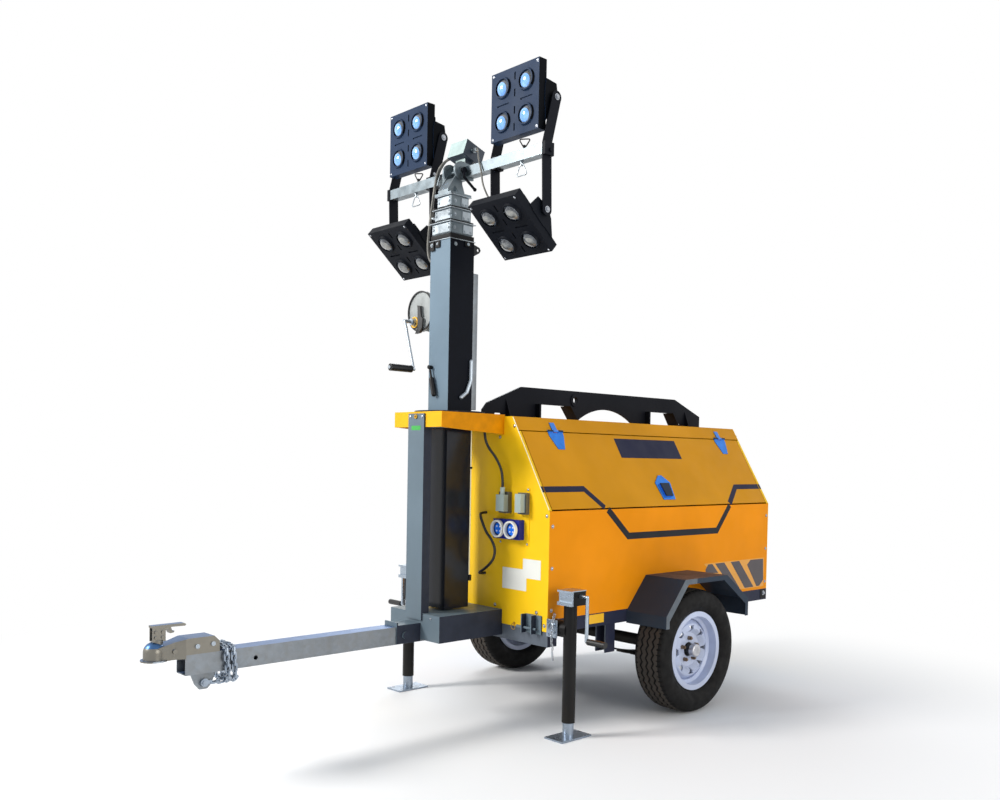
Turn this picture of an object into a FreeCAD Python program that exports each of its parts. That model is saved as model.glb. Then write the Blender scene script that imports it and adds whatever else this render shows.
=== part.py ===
import FreeCAD, Part
import os
from math import acos, cos, degrees, pi, radians, sin, sqrt, tan

# Mobile light tower on a two-wheel trailer, in millimetres and degrees.
# X points forward along the drawbar, Y to the left side, Z up, ground at 0.
# While building, X is counted from the wheel axle.

# Clearances
running_gap = 0.3
moving_gap = 5.0

# Wheels
tyre_diameter = 614.6
tyre_width = 189.0
rim_seat_radius = 177.0
rim_flange_height = 19.0
rim_flange_radius = rim_seat_radius + rim_flange_height
rim_width = 140.0
rim_wall = 6.0
wheel_side_gap = 144.0
wheel_disc_offset = 22.0
hub_radius = 36.0
hub_cap_radius = 33.0
hub_cap_reach = 62.0
slot_apex_share = 0.57
slot_base_share = 0.79
slot_width_share = 0.27
wheel_bolt_circle = 114.0
wheel_bolt_count = 5
wheel_slot_count = 8
axle_radius = 30.0
spindle_radius = 18.0

# Trailer frame
body_front_x = 843.0
body_rear_x = -973.0
body_half_width = 488.0
wheel_plane_y = body_half_width + wheel_side_gap
rail_width = 50.0
rail_top_z = 515.0
rail_bottom_z = 455.0
front_member_bottom_z = 393.0
member_length = 60.0
frame_wall = 4.0
cross_member_x = (270.0, -430.0)
floor_sheet = 3.0
axle_z = tyre_diameter / 2
spring_inset = 48.0
spring_y = body_half_width - spring_inset
spring_leaf_width = 50.0
spring_half_span = 380.0

# Canopy
knee_z = 1013.0
roof_z = 1449.0
roof_half_width = 231.0
sheet = 3.0
door_top_share = 0.154
door_seam_gap = 6.0
door_end_margin = 20.0
front_sheet_bottom_z = 463.0
gutter_width = 34.0
gutter_end = 30.0
jamb_depth = 22.0

# Engine and generator inside
engine_length = 1000.0
engine_width = 420.0
engine_height = 520.0
tank_length = 360.0
tank_width = 640.0
tank_height = 300.0
tank_front_x = 780.0
tank_gap = 70.0

# Folded bracket with a ring pin at the body's front
pin_bracket_edge = 34.0
pin_bracket_width = 104.0
pin_bracket_depth = 35.0
pin_bracket_height = 86.0
pin_bracket_wall = 5.0
pin_ear_gap = 64.0
pin_radius = 7.0

# Mast foot in front of the canopy
base_box_front_x = 1228.0
base_box_half_width = 184.0
base_box_top_z = 531.0
base_box_bottom_z = 410.0
base_box_wall = 6.0
collar_half_width = 176.0
collar_top_z = 1457.0
collar_front_height = 71.0
collar_rear_height = 95.0
collar_hole_radius = 140.0
collar_bottom_front_z = collar_top_z - collar_front_height
collar_bottom_rear_z = collar_top_z - collar_rear_height
collar_wall = 8.0
post_width = 118.0
post_wall = 8.0
post_flange = 36.0
post_foot_overlap = 31.0

# Drawbar and coupling
drawbar_size = 80.0
drawbar_wall = 4.0
drawbar_bottom_z = 400.0
drawbar_front_x = 2345.0
bracket_front_x = 1362.0
bracket_wall = 6.0
bracket_bottom_z = 402.0
bracket_lip = 14.0
bracket_bolt_x = 1317.0
bracket_bolt_z = 440.0
coupler_rear_x = 2209.0
coupler_nose_x = 2500.0
coupler_width = 88.0
lip_radius = 50.0
dome_radius = 40.0
coupler_bolt_radius = 9.0
coupler_top_z = 543.0
ball_radius = 25.0
ball_gap = 0.6
socket_depth = 46.0
latch_x = 2438.0
latch_top_z = 592.0
chain_eye_drop = 69.0
chain_eye_thickness = 12.0
chain_eye_x = 2257.0
chain_bolt_radius = 10.0
pin_hole_x = 2053.0
pin_hole_height = 33.0
pin_hole_radius = 9.0

# Safety chains wrapped round the drawbar
chain_wire = 7.0
link_length = 38.0
link_width = 24.0
link_spacing = 23.0
wrap_offset = 15.0
wrap_drop = 38.0
wrap_corner = 16.0
wrap_columns = ((2190.0, -14.0), (2160.0, -12.0))

# Mast
mast_x = 1038.0
mast_size = 145.0
mast_wall = 4.0
mast_bottom_z = 540.0
mast_top_z = 2265.0
mast_pivot_radius = 32.0
turntable_radius = 166.0
turntable_thickness = 8.0
stage_1_size = 127.0
stage_2_size = 111.0
stage_3_size = 95.0
stage_sizes = (stage_1_size, stage_2_size, stage_3_size)
stage_wall = 3.0
stage_bottom_z = 640.0
stage_pitch = 64.0
stage_band_height = 52.0
stage_pad_height = 40.0
slide_gap = 0.35
rail_depth = 25.0
handle_radius = 9.5
handle_top_z = 1703.0
lever_top_z = 1672.0
mast_rail_width = 50.0

# Winch on the mast
winch_above_collar = 493.0
winch_cover_radius = 98.0
winch_cover_y = -172.0
winch_plate_half = 70.0
winch_drum_radius = 42.0
winch_crank_y = -212.0
winch_crank_drop = 50.0
winch_crank_reach = 235.0
winch_crank_shift = 75.0
winch_grip_length = 143.0
winch_grip_radius = 17.0

# Head and light bar
bar_x = 978.0
bar_z = 2593.0
bar_size = 48.0
bar_wall = 4.0
bar_half_length = 555.0
tilt_x = 1026.0
clamp_disc_radius = 43.0
clamp_disc_thickness = 10.0
fork_half = 36.0
fork_wall = 8.0
fork_boss_radius = 20.0
tilt_bolt_radius = 8.0
box_tip = 19.0
lamp_y = 388.0
lamp_size = 306.0
lamp_plate_depth = 45.0
lamp_pivot_setback = 92.0
lamp_upper_pivot = (924.0, 2831.0)
lamp_lower_pivot = (971.0, 2335.0)
lamp_lower_angle = 48.9
lens_radius = 40.0
lens_height = 20.0
lens_dome_radius = 50.0
bezel_height = 10.0
bezel_radius = 49.0
lens_spacing = 75.0
yoke_inner_y = 222.0
yoke_thickness = 6.0
yoke_width = 54.0
end_cap_thickness = 14.0

# Jack legs
jack_x = 808.0
jack_side_offset = 107.0
jack_y = body_half_width + jack_side_offset
jack_tube_radius = 30.0
jack_tube_wall = 4.0
jack_tube_bottom_z = 69.0
jack_tube_top_z = 598.0
jack_cap_top_z = 662.0
jack_leg_radius = 22.0
jack_foot_length = 192.0
jack_foot_width = 109.0
jack_foot_thickness = 8.0
jack_swivel_z = 485.0
jack_swivel_radius = 30.0
jack_stub_radius = 38.0
jack_pin_radius = 20.0
jack_box_front = 27.0
jack_box_rear = 56.0
jack_box_half_width = 41.0
crank_axis_x = 790.0
crank_axis_z = 640.0
crank_reach = 86.0
crank_low_z = 443.0
crank_radius = 8.0
grip_radius = 14.0
grip_length = 112.0

# Lifting beam over the roof
beam_thickness = 12.0
beam_front_x = 835.0
beam_rear_x = -943.0
beam_height = 168.0
beam_foot_half = 38.0
beam_hole_x = 180.0
beam_hole_height = 116.0
beam_hole_radius = 17.5
beam_hole_ring_radius = 34.0

# Fenders
fender_reach = 248.0
fender_outer_y = body_half_width + fender_reach
fender_front_x = 290.0
fender_rear_x = -403.0
fender_top_z = 676.0
fender_bottom_z = 449.0
fender_sheet = 2.5
fender_lip = 25.0

# Socket panel
panel_y_low = 158.0
panel_y_high = 360.0
panel_z_low = 843.0
panel_z_high = 1117.0
panel_thickness = 3.0
socket_columns = (195.0, 285.0)
socket_half = 43.0
socket_height = 75.0
socket_box_depth = 34.0
socket_ring_depth = 22.0
socket_ring_radius = 41.0
body_drop_z = 447.0
cable_radius = 6.5

middle_x = (coupler_nose_x + body_rear_x) / 2
shapes = {}


def vec(x, y, z):
    return FreeCAD.Vector(x, y, z)


def block(x0, x1, y0, y1, z0, z1):
    return Part.makeBox(x1 - x0, y1 - y0, z1 - z0, vec(x0, y0, z0))


def slab_y(points, y0, y1):
    wire = Part.makePolygon([vec(x, y0, z) for x, z in points + points[:1]])
    return Part.Face(wire).extrude(vec(0, y1 - y0, 0))


def slab_x(points, x0, x1):
    wire = Part.makePolygon([vec(x0, y, z) for y, z in points + points[:1]])
    return Part.Face(wire).extrude(vec(x1 - x0, 0, 0))


def slab_z(points, z0, z1):
    wire = Part.makePolygon([vec(x, y, z0) for x, y in points + points[:1]])
    return Part.Face(wire).extrude(vec(0, 0, z1 - z0))


def rod(start, end, radius):
    along = end - start
    return Part.makeCylinder(radius, along.Length, start, along)


def pipe(start, end, radius, wall):
    along = end - start
    outer = Part.makeCylinder(radius, along.Length, start, along)
    return outer.cut(Part.makeCylinder(radius - wall, along.Length, start, along))


def square_tube(x, y, size, wall, z0, z1):
    half = size / 2
    inner = half - wall
    outer = block(x - half, x + half, y - half, y + half, z0, z1)
    return outer.cut(block(x - inner, x + inner, y - inner, y + inner, z0, z1))


def mirror_y(shape):
    return shape.mirror(vec(0, 0, 0), vec(0, 1, 0))


def turned(shape, centre, axis, angle):
    copy = shape.copy()
    copy.rotate(centre, axis, angle)
    return copy


def joined(first, *others):
    return first.fuse(list(others)).removeSplitter() if others else first


def keep(name, *solids):
    shapes[name] = list(solids)


def keep_pair(name, *solids):
    keep(name + "_left", *solids)
    keep(name + "_right", *[mirror_y(solid) for solid in solids])


# Wheels: tyre, rim and hub turn together on the spindle
tyre_radius = tyre_diameter / 2
tread_half = tyre_width / 2 - 16
tyre_outline = [
    (rim_seat_radius + running_gap, rim_width / 2 - rim_wall - running_gap),
    (rim_flange_radius + 2, rim_width / 2 - rim_wall - running_gap),
    (rim_flange_radius + 8, rim_width / 2),
    (tyre_radius - 62, tyre_width / 2),
    (tyre_radius - 34, tyre_width / 2 - 3),
    (tyre_radius - 12, tread_half),
    (tyre_radius - 3, tread_half - 12),
    (tyre_radius, tread_half - 30),
]
tyre_inner = [
    (tyre_radius - 14, tread_half - 34),
    (tyre_radius - 40, tyre_width / 2 - 16),
    (rim_flange_radius + 16, rim_width / 2 - 8),
    (rim_seat_radius + running_gap, rim_width / 2 - rim_wall - 22),
]
tyre_loop = [(y, r) for r, y in tyre_outline] + [(-y, r) for r, y in reversed(tyre_outline)]
tyre_loop = tyre_loop + [(-y, r) for r, y in reversed(tyre_inner)] + [(y, r) for r, y in tyre_inner]


def revolved(points, y, x, z):
    wire = Part.makePolygon([vec(x, y + a, z + r) for a, r in points + points[:1]])
    return Part.Face(wire).revolve(vec(x, y, z), vec(0, 1, 0), 360)


rim_loop = [
    (rim_width / 2, rim_flange_radius),
    (rim_width / 2 - rim_wall, rim_flange_radius),
    (rim_width / 2 - rim_wall, rim_seat_radius),
    (24, rim_seat_radius - 2),
    (16, rim_seat_radius - 16),
    (-16, rim_seat_radius - 16),
    (-24, rim_seat_radius - 2),
    (-rim_width / 2 + rim_wall, rim_seat_radius),
    (-rim_width / 2 + rim_wall, rim_flange_radius),
    (-rim_width / 2, rim_flange_radius),
    (-rim_width / 2, rim_seat_radius - rim_wall),
    (-28, rim_seat_radius - rim_wall - 2),
    (-20, rim_seat_radius - rim_wall - 18),
    (20, rim_seat_radius - rim_wall - 18),
    (28, rim_seat_radius - rim_wall - 2),
    (rim_width / 2, rim_seat_radius - rim_wall),
]
disc_edge_radius = rim_seat_radius - rim_wall - 17
ring_radius = disc_edge_radius * 0.68
dish_radius = disc_edge_radius * 0.85
disc_loop = [
    (wheel_disc_offset, hub_radius),
    (wheel_disc_offset, ring_radius - 20),
    (wheel_disc_offset + 22, ring_radius),
    (wheel_disc_offset + 14, dish_radius),
    (4, disc_edge_radius),
    (-6, disc_edge_radius),
    (wheel_disc_offset + 4, dish_radius - 4),
    (wheel_disc_offset + 12, ring_radius + 4),
    (wheel_disc_offset - 8, ring_radius - 18),
    (wheel_disc_offset - 8, hub_radius),
]
rim = joined(revolved(rim_loop, wheel_plane_y, 0, axle_z), revolved(disc_loop, wheel_plane_y, 0, axle_z))
slot_half = disc_edge_radius * slot_width_share / 2
slot_base_z = axle_z + disc_edge_radius * slot_base_share
slot = slab_y([(-slot_half, slot_base_z), (slot_half, slot_base_z), (0, axle_z + disc_edge_radius * slot_apex_share)],
              wheel_plane_y, wheel_plane_y + 80)
for index in range(wheel_slot_count):
    angle = 360 / wheel_slot_count * index
    rim = rim.cut(turned(slot, vec(0, 0, axle_z), vec(0, 1, 0), angle))
tyre = revolved(tyre_loop, wheel_plane_y, 0, axle_z)
keep_pair("tyre", tyre)

hub_inner_y = wheel_plane_y - 62
hub_face_y = wheel_plane_y + wheel_disc_offset - 8
hub = joined(
    rod(vec(0, hub_inner_y, axle_z), vec(0, hub_face_y, axle_z), 52),
    rod(vec(0, hub_face_y - 14, axle_z), vec(0, hub_face_y, axle_z), 76),
    rod(vec(0, hub_face_y, axle_z), vec(0, hub_face_y + 38, axle_z), hub_cap_radius - 3),
)
cap_end = rod(vec(0, hub_face_y + 34, axle_z), vec(0, hub_face_y + hub_cap_reach, axle_z), hub_cap_radius)
cap_end = cap_end.makeFillet(8, [edge for edge in cap_end.Edges if edge.BoundBox.YMin > hub_face_y + hub_cap_reach - 1])
hub = joined(hub, cap_end)
hub = hub.cut(rod(vec(0, hub_inner_y - 1, axle_z), vec(0, hub_face_y + 20, axle_z), spindle_radius + running_gap))
for index in range(wheel_bolt_count):
    angle = radians(360 / wheel_bolt_count * index + 90)
    x = wheel_bolt_circle / 2 * cos(angle)
    z = axle_z + wheel_bolt_circle / 2 * sin(angle)
    stud = rod(vec(x, hub_face_y - 4, z), vec(x, hub_face_y + 30, z), 6)
    nut = rod(vec(x, hub_face_y + 8, z), vec(x, hub_face_y + 24, z), 10)
    rim_hole = rod(vec(x, hub_face_y - 20, z), vec(x, hub_face_y + 40, z), 6 + running_gap)
    hub = joined(hub, stud, nut)
    rim = rim.cut(rim_hole)
keep_pair("rim", rim)
keep_pair("hub", hub)

# Axle tube with a spindle at each end
spindle_end_y = hub_face_y + 19.5
axle_end_y = hub_inner_y - 1
axle = joined(
    rod(vec(0, -axle_end_y, axle_z), vec(0, axle_end_y, axle_z), axle_radius),
    rod(vec(0, -spindle_end_y, axle_z), vec(0, spindle_end_y, axle_z), spindle_radius),
)
keep("axle", axle)

# Leaf springs under the axle, hung from the side rails
leaf_bottom = axle_z - axle_radius - 26
leaf_top = axle_z - axle_radius
spring_end_z = axle_z + 20
leaf_rise = spring_end_z - leaf_top
spring_low = spring_y - spring_leaf_width / 2
spring_high = spring_y + spring_leaf_width / 2


def leaf(half_span, top_mid, thickness, rise):
    left = vec(-half_span, spring_low, top_mid + rise)
    mid = vec(0, spring_low, top_mid)
    right = vec(half_span, spring_low, top_mid + rise)
    down = vec(0, 0, -thickness)
    upper = Part.Arc(left, mid, right).toShape()
    lower = Part.Arc(left + down, mid + down, right + down).toShape()
    ends = [Part.makeLine(left, left + down), Part.makeLine(right, right + down)]
    face = Part.Face(Part.Wire(Part.__sortEdges__([upper, lower] + ends)))
    return face.extrude(vec(0, spring_leaf_width, 0))


leaf_thickness = 8.0
main_rise = 62.0
spring_solids = []
for number, share in enumerate((1.0, 0.72, 0.44)):
    span = spring_half_span * share
    top = leaf_top - number * leaf_thickness
    spring_solids.append(leaf(span, top, leaf_thickness, main_rise * share * share))
main_end_z = leaf_top + main_rise - leaf_thickness / 2
eyes = []
for side in (-1, 1):
    x = side * (spring_half_span + 12)
    eyes.append(rod(vec(x, spring_low, main_end_z), vec(x, spring_high, main_end_z), 16))
saddle_top = axle_z + axle_radius + 8
saddle = joined(
    block(-45, 45, spring_low - 8, spring_high + 8, leaf_top - 3 * leaf_thickness - 10, leaf_top - 3 * leaf_thickness),
    block(-40, -32, spring_low - 8, spring_low, leaf_top - 3 * leaf_thickness - 10, saddle_top),
    block(32, 40, spring_low - 8, spring_low, leaf_top - 3 * leaf_thickness - 10, saddle_top),
    block(-40, -32, spring_high, spring_high + 8, leaf_top - 3 * leaf_thickness - 10, saddle_top),
    block(32, 40, spring_high, spring_high + 8, leaf_top - 3 * leaf_thickness - 10, saddle_top),
    block(-40, 40, spring_low - 8, spring_high + 8, axle_z + axle_radius, saddle_top),
)
spring = joined(spring_solids[0], spring_solids[1], spring_solids[2], eyes[0], eyes[1], saddle)
keep("leaf_springs", spring, mirror_y(spring))

# Trailer frame: side rails, cross-members, floor sheet, spring hangers and shackles
rail_inner = body_half_width - rail_width


def box_section(x0, x1, y0, y1, z0, z1):
    outer = block(x0, x1, y0, y1, z0, z1)
    wall = frame_wall
    return outer.cut(block(x0 + wall, x1 - wall, y0 + wall, y1 - wall, z0 + wall, z1 - wall))


front_member_x = body_front_x - member_length
rear_member_x = body_rear_x + member_length
frame = joined(
    box_section(rear_member_x, front_member_x, rail_inner, body_half_width, rail_bottom_z, rail_top_z),
    box_section(rear_member_x, front_member_x, -body_half_width, -rail_inner, rail_bottom_z, rail_top_z),
    box_section(front_member_x, body_front_x, -body_half_width, body_half_width,
                front_member_bottom_z, rail_top_z),
    box_section(body_rear_x, rear_member_x, -body_half_width, body_half_width, rail_bottom_z, rail_top_z),
    block(body_rear_x, body_front_x, -body_half_width, body_half_width, rail_top_z, rail_top_z + floor_sheet),
)
for x in cross_member_x:
    frame = joined(frame, box_section(x, x + member_length, -rail_inner, rail_inner, rail_bottom_z, rail_top_z))
hangers = []
for side in (-1, 1):
    for y_side in (-1, 1):
        for plate_side in (-1, 1):
            x = side * (spring_half_span + 12)
            y = y_side * (spring_y + plate_side * (spring_leaf_width / 2 + running_gap + 4))
            hangers.append(block(x - 34, x + 34, y - 4, y + 4, main_end_z - 22, rail_bottom_z))
        y = y_side * spring_y
        hanger_half = spring_leaf_width / 2 + running_gap + 8
        hangers.append(block(x - 34, x + 34, y - hanger_half, y + hanger_half, rail_bottom_z - 8, rail_bottom_z))
frame = joined(frame, *hangers)
keep("chassis_frame", frame)

# Mast base: plates welded to a box open below, around the drawbar
half = drawbar_size / 2
bar_top_z = drawbar_bottom_z + drawbar_size
slot_half = half + running_gap
slot_top_z = bar_top_z + running_gap
base_top_low_z = base_box_top_z - base_box_wall
front_plate_x = base_box_front_x - base_box_wall
side_plate_y = base_box_half_width - base_box_wall
base_plates = [
    block(body_front_x, base_box_front_x, -base_box_half_width, base_box_half_width, base_top_low_z, base_box_top_z),
    block(front_plate_x, base_box_front_x, -slot_half, slot_half, slot_top_z, base_top_low_z),
]
for side in (-1, 1):
    side_low = min(side * side_plate_y, side * base_box_half_width)
    front_low = min(side * slot_half, side * side_plate_y)
    web_low = min(side * slot_half, side * (slot_half + base_box_wall))
    base_plates.append(block(body_front_x, base_box_front_x, side_low, side_low + base_box_wall,
                             base_box_bottom_z, base_top_low_z))
    base_plates.append(block(front_plate_x, base_box_front_x, front_low, front_low + side_plate_y - slot_half,
                             base_box_bottom_z, base_top_low_z))
    base_plates.append(block(body_front_x, front_plate_x, web_low, web_low + base_box_wall,
                             base_box_bottom_z + 4, base_top_low_z))
keep("base_box", *base_plates)

# Drawbar: square tube from the frame's front member to the coupling
drawbar = block(body_front_x, drawbar_front_x, -half, half, drawbar_bottom_z, bar_top_z)
drawbar = drawbar.cut(block(body_front_x, drawbar_front_x, -half + drawbar_wall, half - drawbar_wall,
                            drawbar_bottom_z + drawbar_wall, bar_top_z - drawbar_wall))
bolt_clearance = 0.5
bracket_bolt_radius = 9.0
drawbar = drawbar.cut(rod(vec(bracket_bolt_x, -half, bracket_bolt_z), vec(bracket_bolt_x, half, bracket_bolt_z),
                          bracket_bolt_radius + bolt_clearance))
pin_hole_z = drawbar_bottom_z + pin_hole_height
drawbar = drawbar.cut(rod(vec(pin_hole_x, -half, pin_hole_z), vec(pin_hole_x, half, pin_hole_z), pin_hole_radius))
eye_half = chain_eye_thickness / 2
eye_mid_z = drawbar_bottom_z - chain_eye_drop * 0.7
eye_bottom_z = drawbar_bottom_z - chain_eye_drop
chain_bolt_z = drawbar_bottom_z - chain_eye_drop * 0.6
eye = slab_y([(chain_eye_x - 53, drawbar_bottom_z), (chain_eye_x + 53, drawbar_bottom_z),
              (chain_eye_x + 33, eye_mid_z), (chain_eye_x + 15, eye_bottom_z),
              (chain_eye_x - 17, eye_bottom_z), (chain_eye_x - 35, eye_mid_z)], -eye_half, eye_half)
eye = eye.cut(rod(vec(chain_eye_x, -20, chain_bolt_z), vec(chain_eye_x, 20, chain_bolt_z), chain_bolt_radius + running_gap))
keep("drawbar", joined(drawbar, eye))

bracket_outer = half + running_gap + bracket_wall
bracket_top_z = bar_top_z + running_gap + bracket_wall
bracket = joined(
    block(base_box_front_x, bracket_front_x, half + running_gap, bracket_outer, bracket_bottom_z, bracket_top_z),
    block(base_box_front_x, bracket_front_x, -bracket_outer, -half - running_gap, bracket_bottom_z, bracket_top_z),
    block(base_box_front_x, bracket_front_x, -bracket_outer, bracket_outer, bar_top_z + running_gap, bracket_top_z),
    block(bracket_front_x - bracket_wall, bracket_front_x, -bracket_outer, bracket_outer,
          bracket_top_z, bracket_top_z + bracket_lip),
)
bolt_start = vec(bracket_bolt_x, -bracket_outer - 12, bracket_bolt_z)
bolt_end = vec(bracket_bolt_x, bracket_outer + 12, bracket_bolt_z)
bracket = joined(bracket, rod(bolt_start, bolt_end, bracket_bolt_radius),
                 rod(vec(bracket_bolt_x, bracket_outer, bracket_bolt_z), bolt_end, 16),
                 rod(bolt_start, vec(bracket_bolt_x, -bracket_outer, bracket_bolt_z), 16))
keep("drawbar_bracket", bracket)

# Coupling head: a waisted body, a domed nose over the ball socket and a flared lip
socket_x = coupler_nose_x - lip_radius
socket_bottom_z = bar_top_z - 14
body_half = coupler_width / 2
waist_half = coupler_width * 0.36
coupler_side = slab_y([(coupler_rear_x, bar_top_z), (drawbar_front_x, bar_top_z), (drawbar_front_x, socket_bottom_z),
                       (socket_x, socket_bottom_z), (socket_x, coupler_top_z - 25), (socket_x - 50, coupler_top_z - 14),
                       (drawbar_front_x - 10, coupler_top_z), (coupler_rear_x + 22, coupler_top_z),
                       (coupler_rear_x, coupler_top_z - 22)], -body_half, body_half)
coupler_plan = slab_z([(coupler_rear_x, -body_half), (drawbar_front_x, -body_half), (socket_x - 66, -waist_half),
                       (socket_x, -dome_radius + 2), (socket_x, dome_radius - 2), (socket_x - 66, waist_half),
                       (drawbar_front_x, body_half), (coupler_rear_x, body_half)], socket_bottom_z, coupler_top_z)
dome_z = coupler_top_z - dome_radius - 4
nose = joined(
    Part.makeSphere(dome_radius, vec(socket_x, 0, dome_z)),
    rod(vec(socket_x, 0, socket_bottom_z), vec(socket_x, 0, dome_z), dome_radius),
    rod(vec(socket_x, 0, socket_bottom_z), vec(socket_x, 0, socket_bottom_z + 5), lip_radius),
)
nose = nose.cut(block(socket_x - 60, socket_x + 60, -60, 60, socket_bottom_z - 40, socket_bottom_z))
coupler = joined(coupler_side.common(coupler_plan), nose)
for x, z, reach in ((coupler_rear_x + 28, coupler_top_z - 30, body_half), (coupler_rear_x + 92, coupler_top_z - 33, body_half),
                    (socket_x - 66, coupler_top_z - 45, waist_half)):
    coupler = joined(coupler, rod(vec(x, -reach - 6, z), vec(x, reach + 6, z), coupler_bolt_radius))
socket_top_z = socket_bottom_z + socket_depth
coupler = coupler.cut(rod(vec(socket_x, 0, socket_bottom_z), vec(socket_x, 0, socket_top_z), ball_radius + ball_gap))
keep("coupler", coupler)

latch_plate_z = latch_top_z - 8
latch_rear_x = latch_x - 98
latch = joined(
    rod(vec(latch_x, 0, coupler_top_z - 22), vec(latch_x, 0, coupler_top_z + 2), 21),
    block(latch_x - 26, latch_x + 24, -15, -10, coupler_top_z - 4, latch_top_z),
    block(latch_x - 26, latch_x + 24, 10, 15, coupler_top_z - 4, latch_top_z),
    block(latch_x - 12, latch_x + 12, -12, 12, coupler_top_z - 4, latch_plate_z),
    slab_y([(latch_x + 27, latch_top_z), (latch_x + 27, latch_top_z + 8), (latch_rear_x, latch_top_z + 8),
            (latch_rear_x - 8, latch_top_z + 3), (latch_rear_x - 4, latch_top_z - 3), (latch_x - 46, latch_top_z - 2),
            (latch_x - 52, latch_top_z - 20), (latch_x - 60, latch_top_z - 18), (latch_x - 58, latch_top_z - 24),
            (latch_x - 44, latch_top_z - 26), (latch_x - 34, latch_top_z - 8), (latch_x - 26, latch_top_z - 8)], -15, 15),
)
for dx in (-14, 12):
    for dz in (12, 32):
        latch = joined(latch, rod(vec(latch_x + dx, -19, coupler_top_z + dz), vec(latch_x + dx, 19, coupler_top_z + dz), 6))
latch = latch.cut(coupler)
keep("coupler_latch", latch)

# Chain links: alternate links stand at right angles, two wraps round the tube
def link(centre, along, across):
    end = link_length / 2
    side = link_width / 2
    outline = [(end, side * 0.45), (end * 0.68, side), (-end * 0.68, side), (-end, side * 0.45),
               (-end, -side * 0.45), (-end * 0.68, -side), (end * 0.68, -side), (end, -side * 0.45)]
    hole_end = end - chain_wire
    hole_side = side - chain_wire
    hole = [(hole_end, hole_side * 0.4), (hole_end * 0.8, hole_side), (-hole_end * 0.8, hole_side),
            (-hole_end, hole_side * 0.4), (-hole_end, -hole_side * 0.4), (-hole_end * 0.8, -hole_side),
            (hole_end * 0.8, -hole_side), (hole_end, -hole_side * 0.4)]
    through = along.cross(across)
    low = centre - through * (chain_wire / 2)
    loops = []
    for points in (outline, hole):
        corners = [low + along * a + across * b for a, b in points]
        loops.append(Part.Face(Part.makePolygon(corners + corners[:1])).extrude(through * chain_wire))
    return loops[0].cut(loops[1])


wrap_side = half + wrap_offset
wrap_top = bar_top_z + wrap_offset
wrap_bottom = drawbar_bottom_z - wrap_drop
wrap_path = Part.makePolygon([vec(0, -wrap_side, wrap_bottom), vec(0, -wrap_side, wrap_top), vec(0, wrap_side, wrap_top),
                              vec(0, wrap_side, wrap_bottom), vec(0, -wrap_side, wrap_bottom)])
wrap_face = Part.Face(wrap_path).extrude(vec(1, 0, 0))
upright = [edge for edge in wrap_face.Edges if edge.Length < 1.5]
wrap_face = wrap_face.makeFillet(wrap_corner, upright)
wrap_wire = [face for face in wrap_face.Faces if face.BoundBox.XMax < 0.001][0].OuterWire
link_count = 2 * round(wrap_wire.Length / link_spacing / 2)
stations = wrap_wire.discretize(Number=4 * link_count + 1)
chain_solids = []
for column_x, lean in wrap_columns:
    for index in range(link_count):
        before = stations[(4 * index - 1) % (4 * link_count)]
        after = stations[(4 * index + 1) % (4 * link_count)]
        centre = stations[4 * index]
        share = (wrap_top - centre.z) / (wrap_top - wrap_bottom)
        place = vec(column_x + lean * share, centre.y, centre.z)
        along = (after - before).normalize()
        across = vec(1, 0, 0) if index % 2 else along.cross(vec(1, 0, 0)).normalize()
        chain_solids.append(link(place, along, across))
lead_y = eye_half + link_width / 2 + 1
lead_start = vec(wrap_columns[0][0] + wrap_columns[0][1] + 16, lead_y, wrap_bottom - 4)
lead_along = vec(1, 0, -0.1).normalize()
for index in range(2):
    across = vec(0, 1, 0) if index else lead_along.cross(vec(0, 1, 0)).normalize()
    chain_solids.append(link(lead_start + lead_along * (link_spacing * index), lead_along, across))
shackle_x = lead_start.x + link_spacing + 12
chain_bolt = joined(
    rod(vec(chain_eye_x, -20, chain_bolt_z), vec(chain_eye_x, lead_y + 6, chain_bolt_z), chain_bolt_radius),
    rod(vec(chain_eye_x, -18, chain_bolt_z), vec(chain_eye_x, -eye_half - running_gap, chain_bolt_z), 16),
    rod(vec(chain_eye_x, eye_half + running_gap, chain_bolt_z), vec(chain_eye_x, lead_y + 2, chain_bolt_z), 16),
    block(shackle_x, chain_eye_x, lead_y - 3, lead_y + 2, chain_bolt_z - 7, chain_bolt_z + 7),
)
chain = chain_bolt.fuse(chain_solids)
keep("safety_chains", *chain.Solids)

# Front post, a channel bolted to the base box and the collar
post_half = post_width / 2
post_face_x = base_box_front_x + post_wall
post_plates = [
    block(base_box_front_x, post_face_x, -post_half, post_half, base_box_top_z - post_foot_overlap, collar_top_z - 9),
    block(base_box_front_x - post_flange, base_box_front_x, -post_half, -post_half + post_wall,
          base_box_top_z, collar_bottom_front_z),
    block(base_box_front_x - post_flange, base_box_front_x, post_half - post_wall, post_half,
          base_box_top_z, collar_bottom_front_z),
]
keep("mast_post", *post_plates)

# Collar around the mast, a band with a sloping lower edge and a top plate
collar_inner = collar_half_width - collar_wall
side_loop = [(body_front_x, collar_bottom_rear_z), (base_box_front_x, collar_bottom_front_z),
             (base_box_front_x, collar_top_z), (body_front_x, collar_top_z)]
turntable_bottom_z = collar_top_z + running_gap
collar_top = block(body_front_x, base_box_front_x, -collar_half_width, collar_half_width,
                   collar_top_z - collar_wall, collar_top_z)
collar_top = collar_top.cut(rod(vec(mast_x, 0, collar_top_z - 20), vec(mast_x, 0, collar_top_z + 1),
                                collar_hole_radius))
collar = joined(
    slab_y(side_loop, collar_inner, collar_half_width),
    slab_y(side_loop, -collar_half_width, -collar_inner),
    block(base_box_front_x - collar_wall, base_box_front_x, -collar_half_width, collar_half_width,
          collar_bottom_front_z, collar_top_z),
    collar_top,
)
keep("mast_collar", collar)

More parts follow.
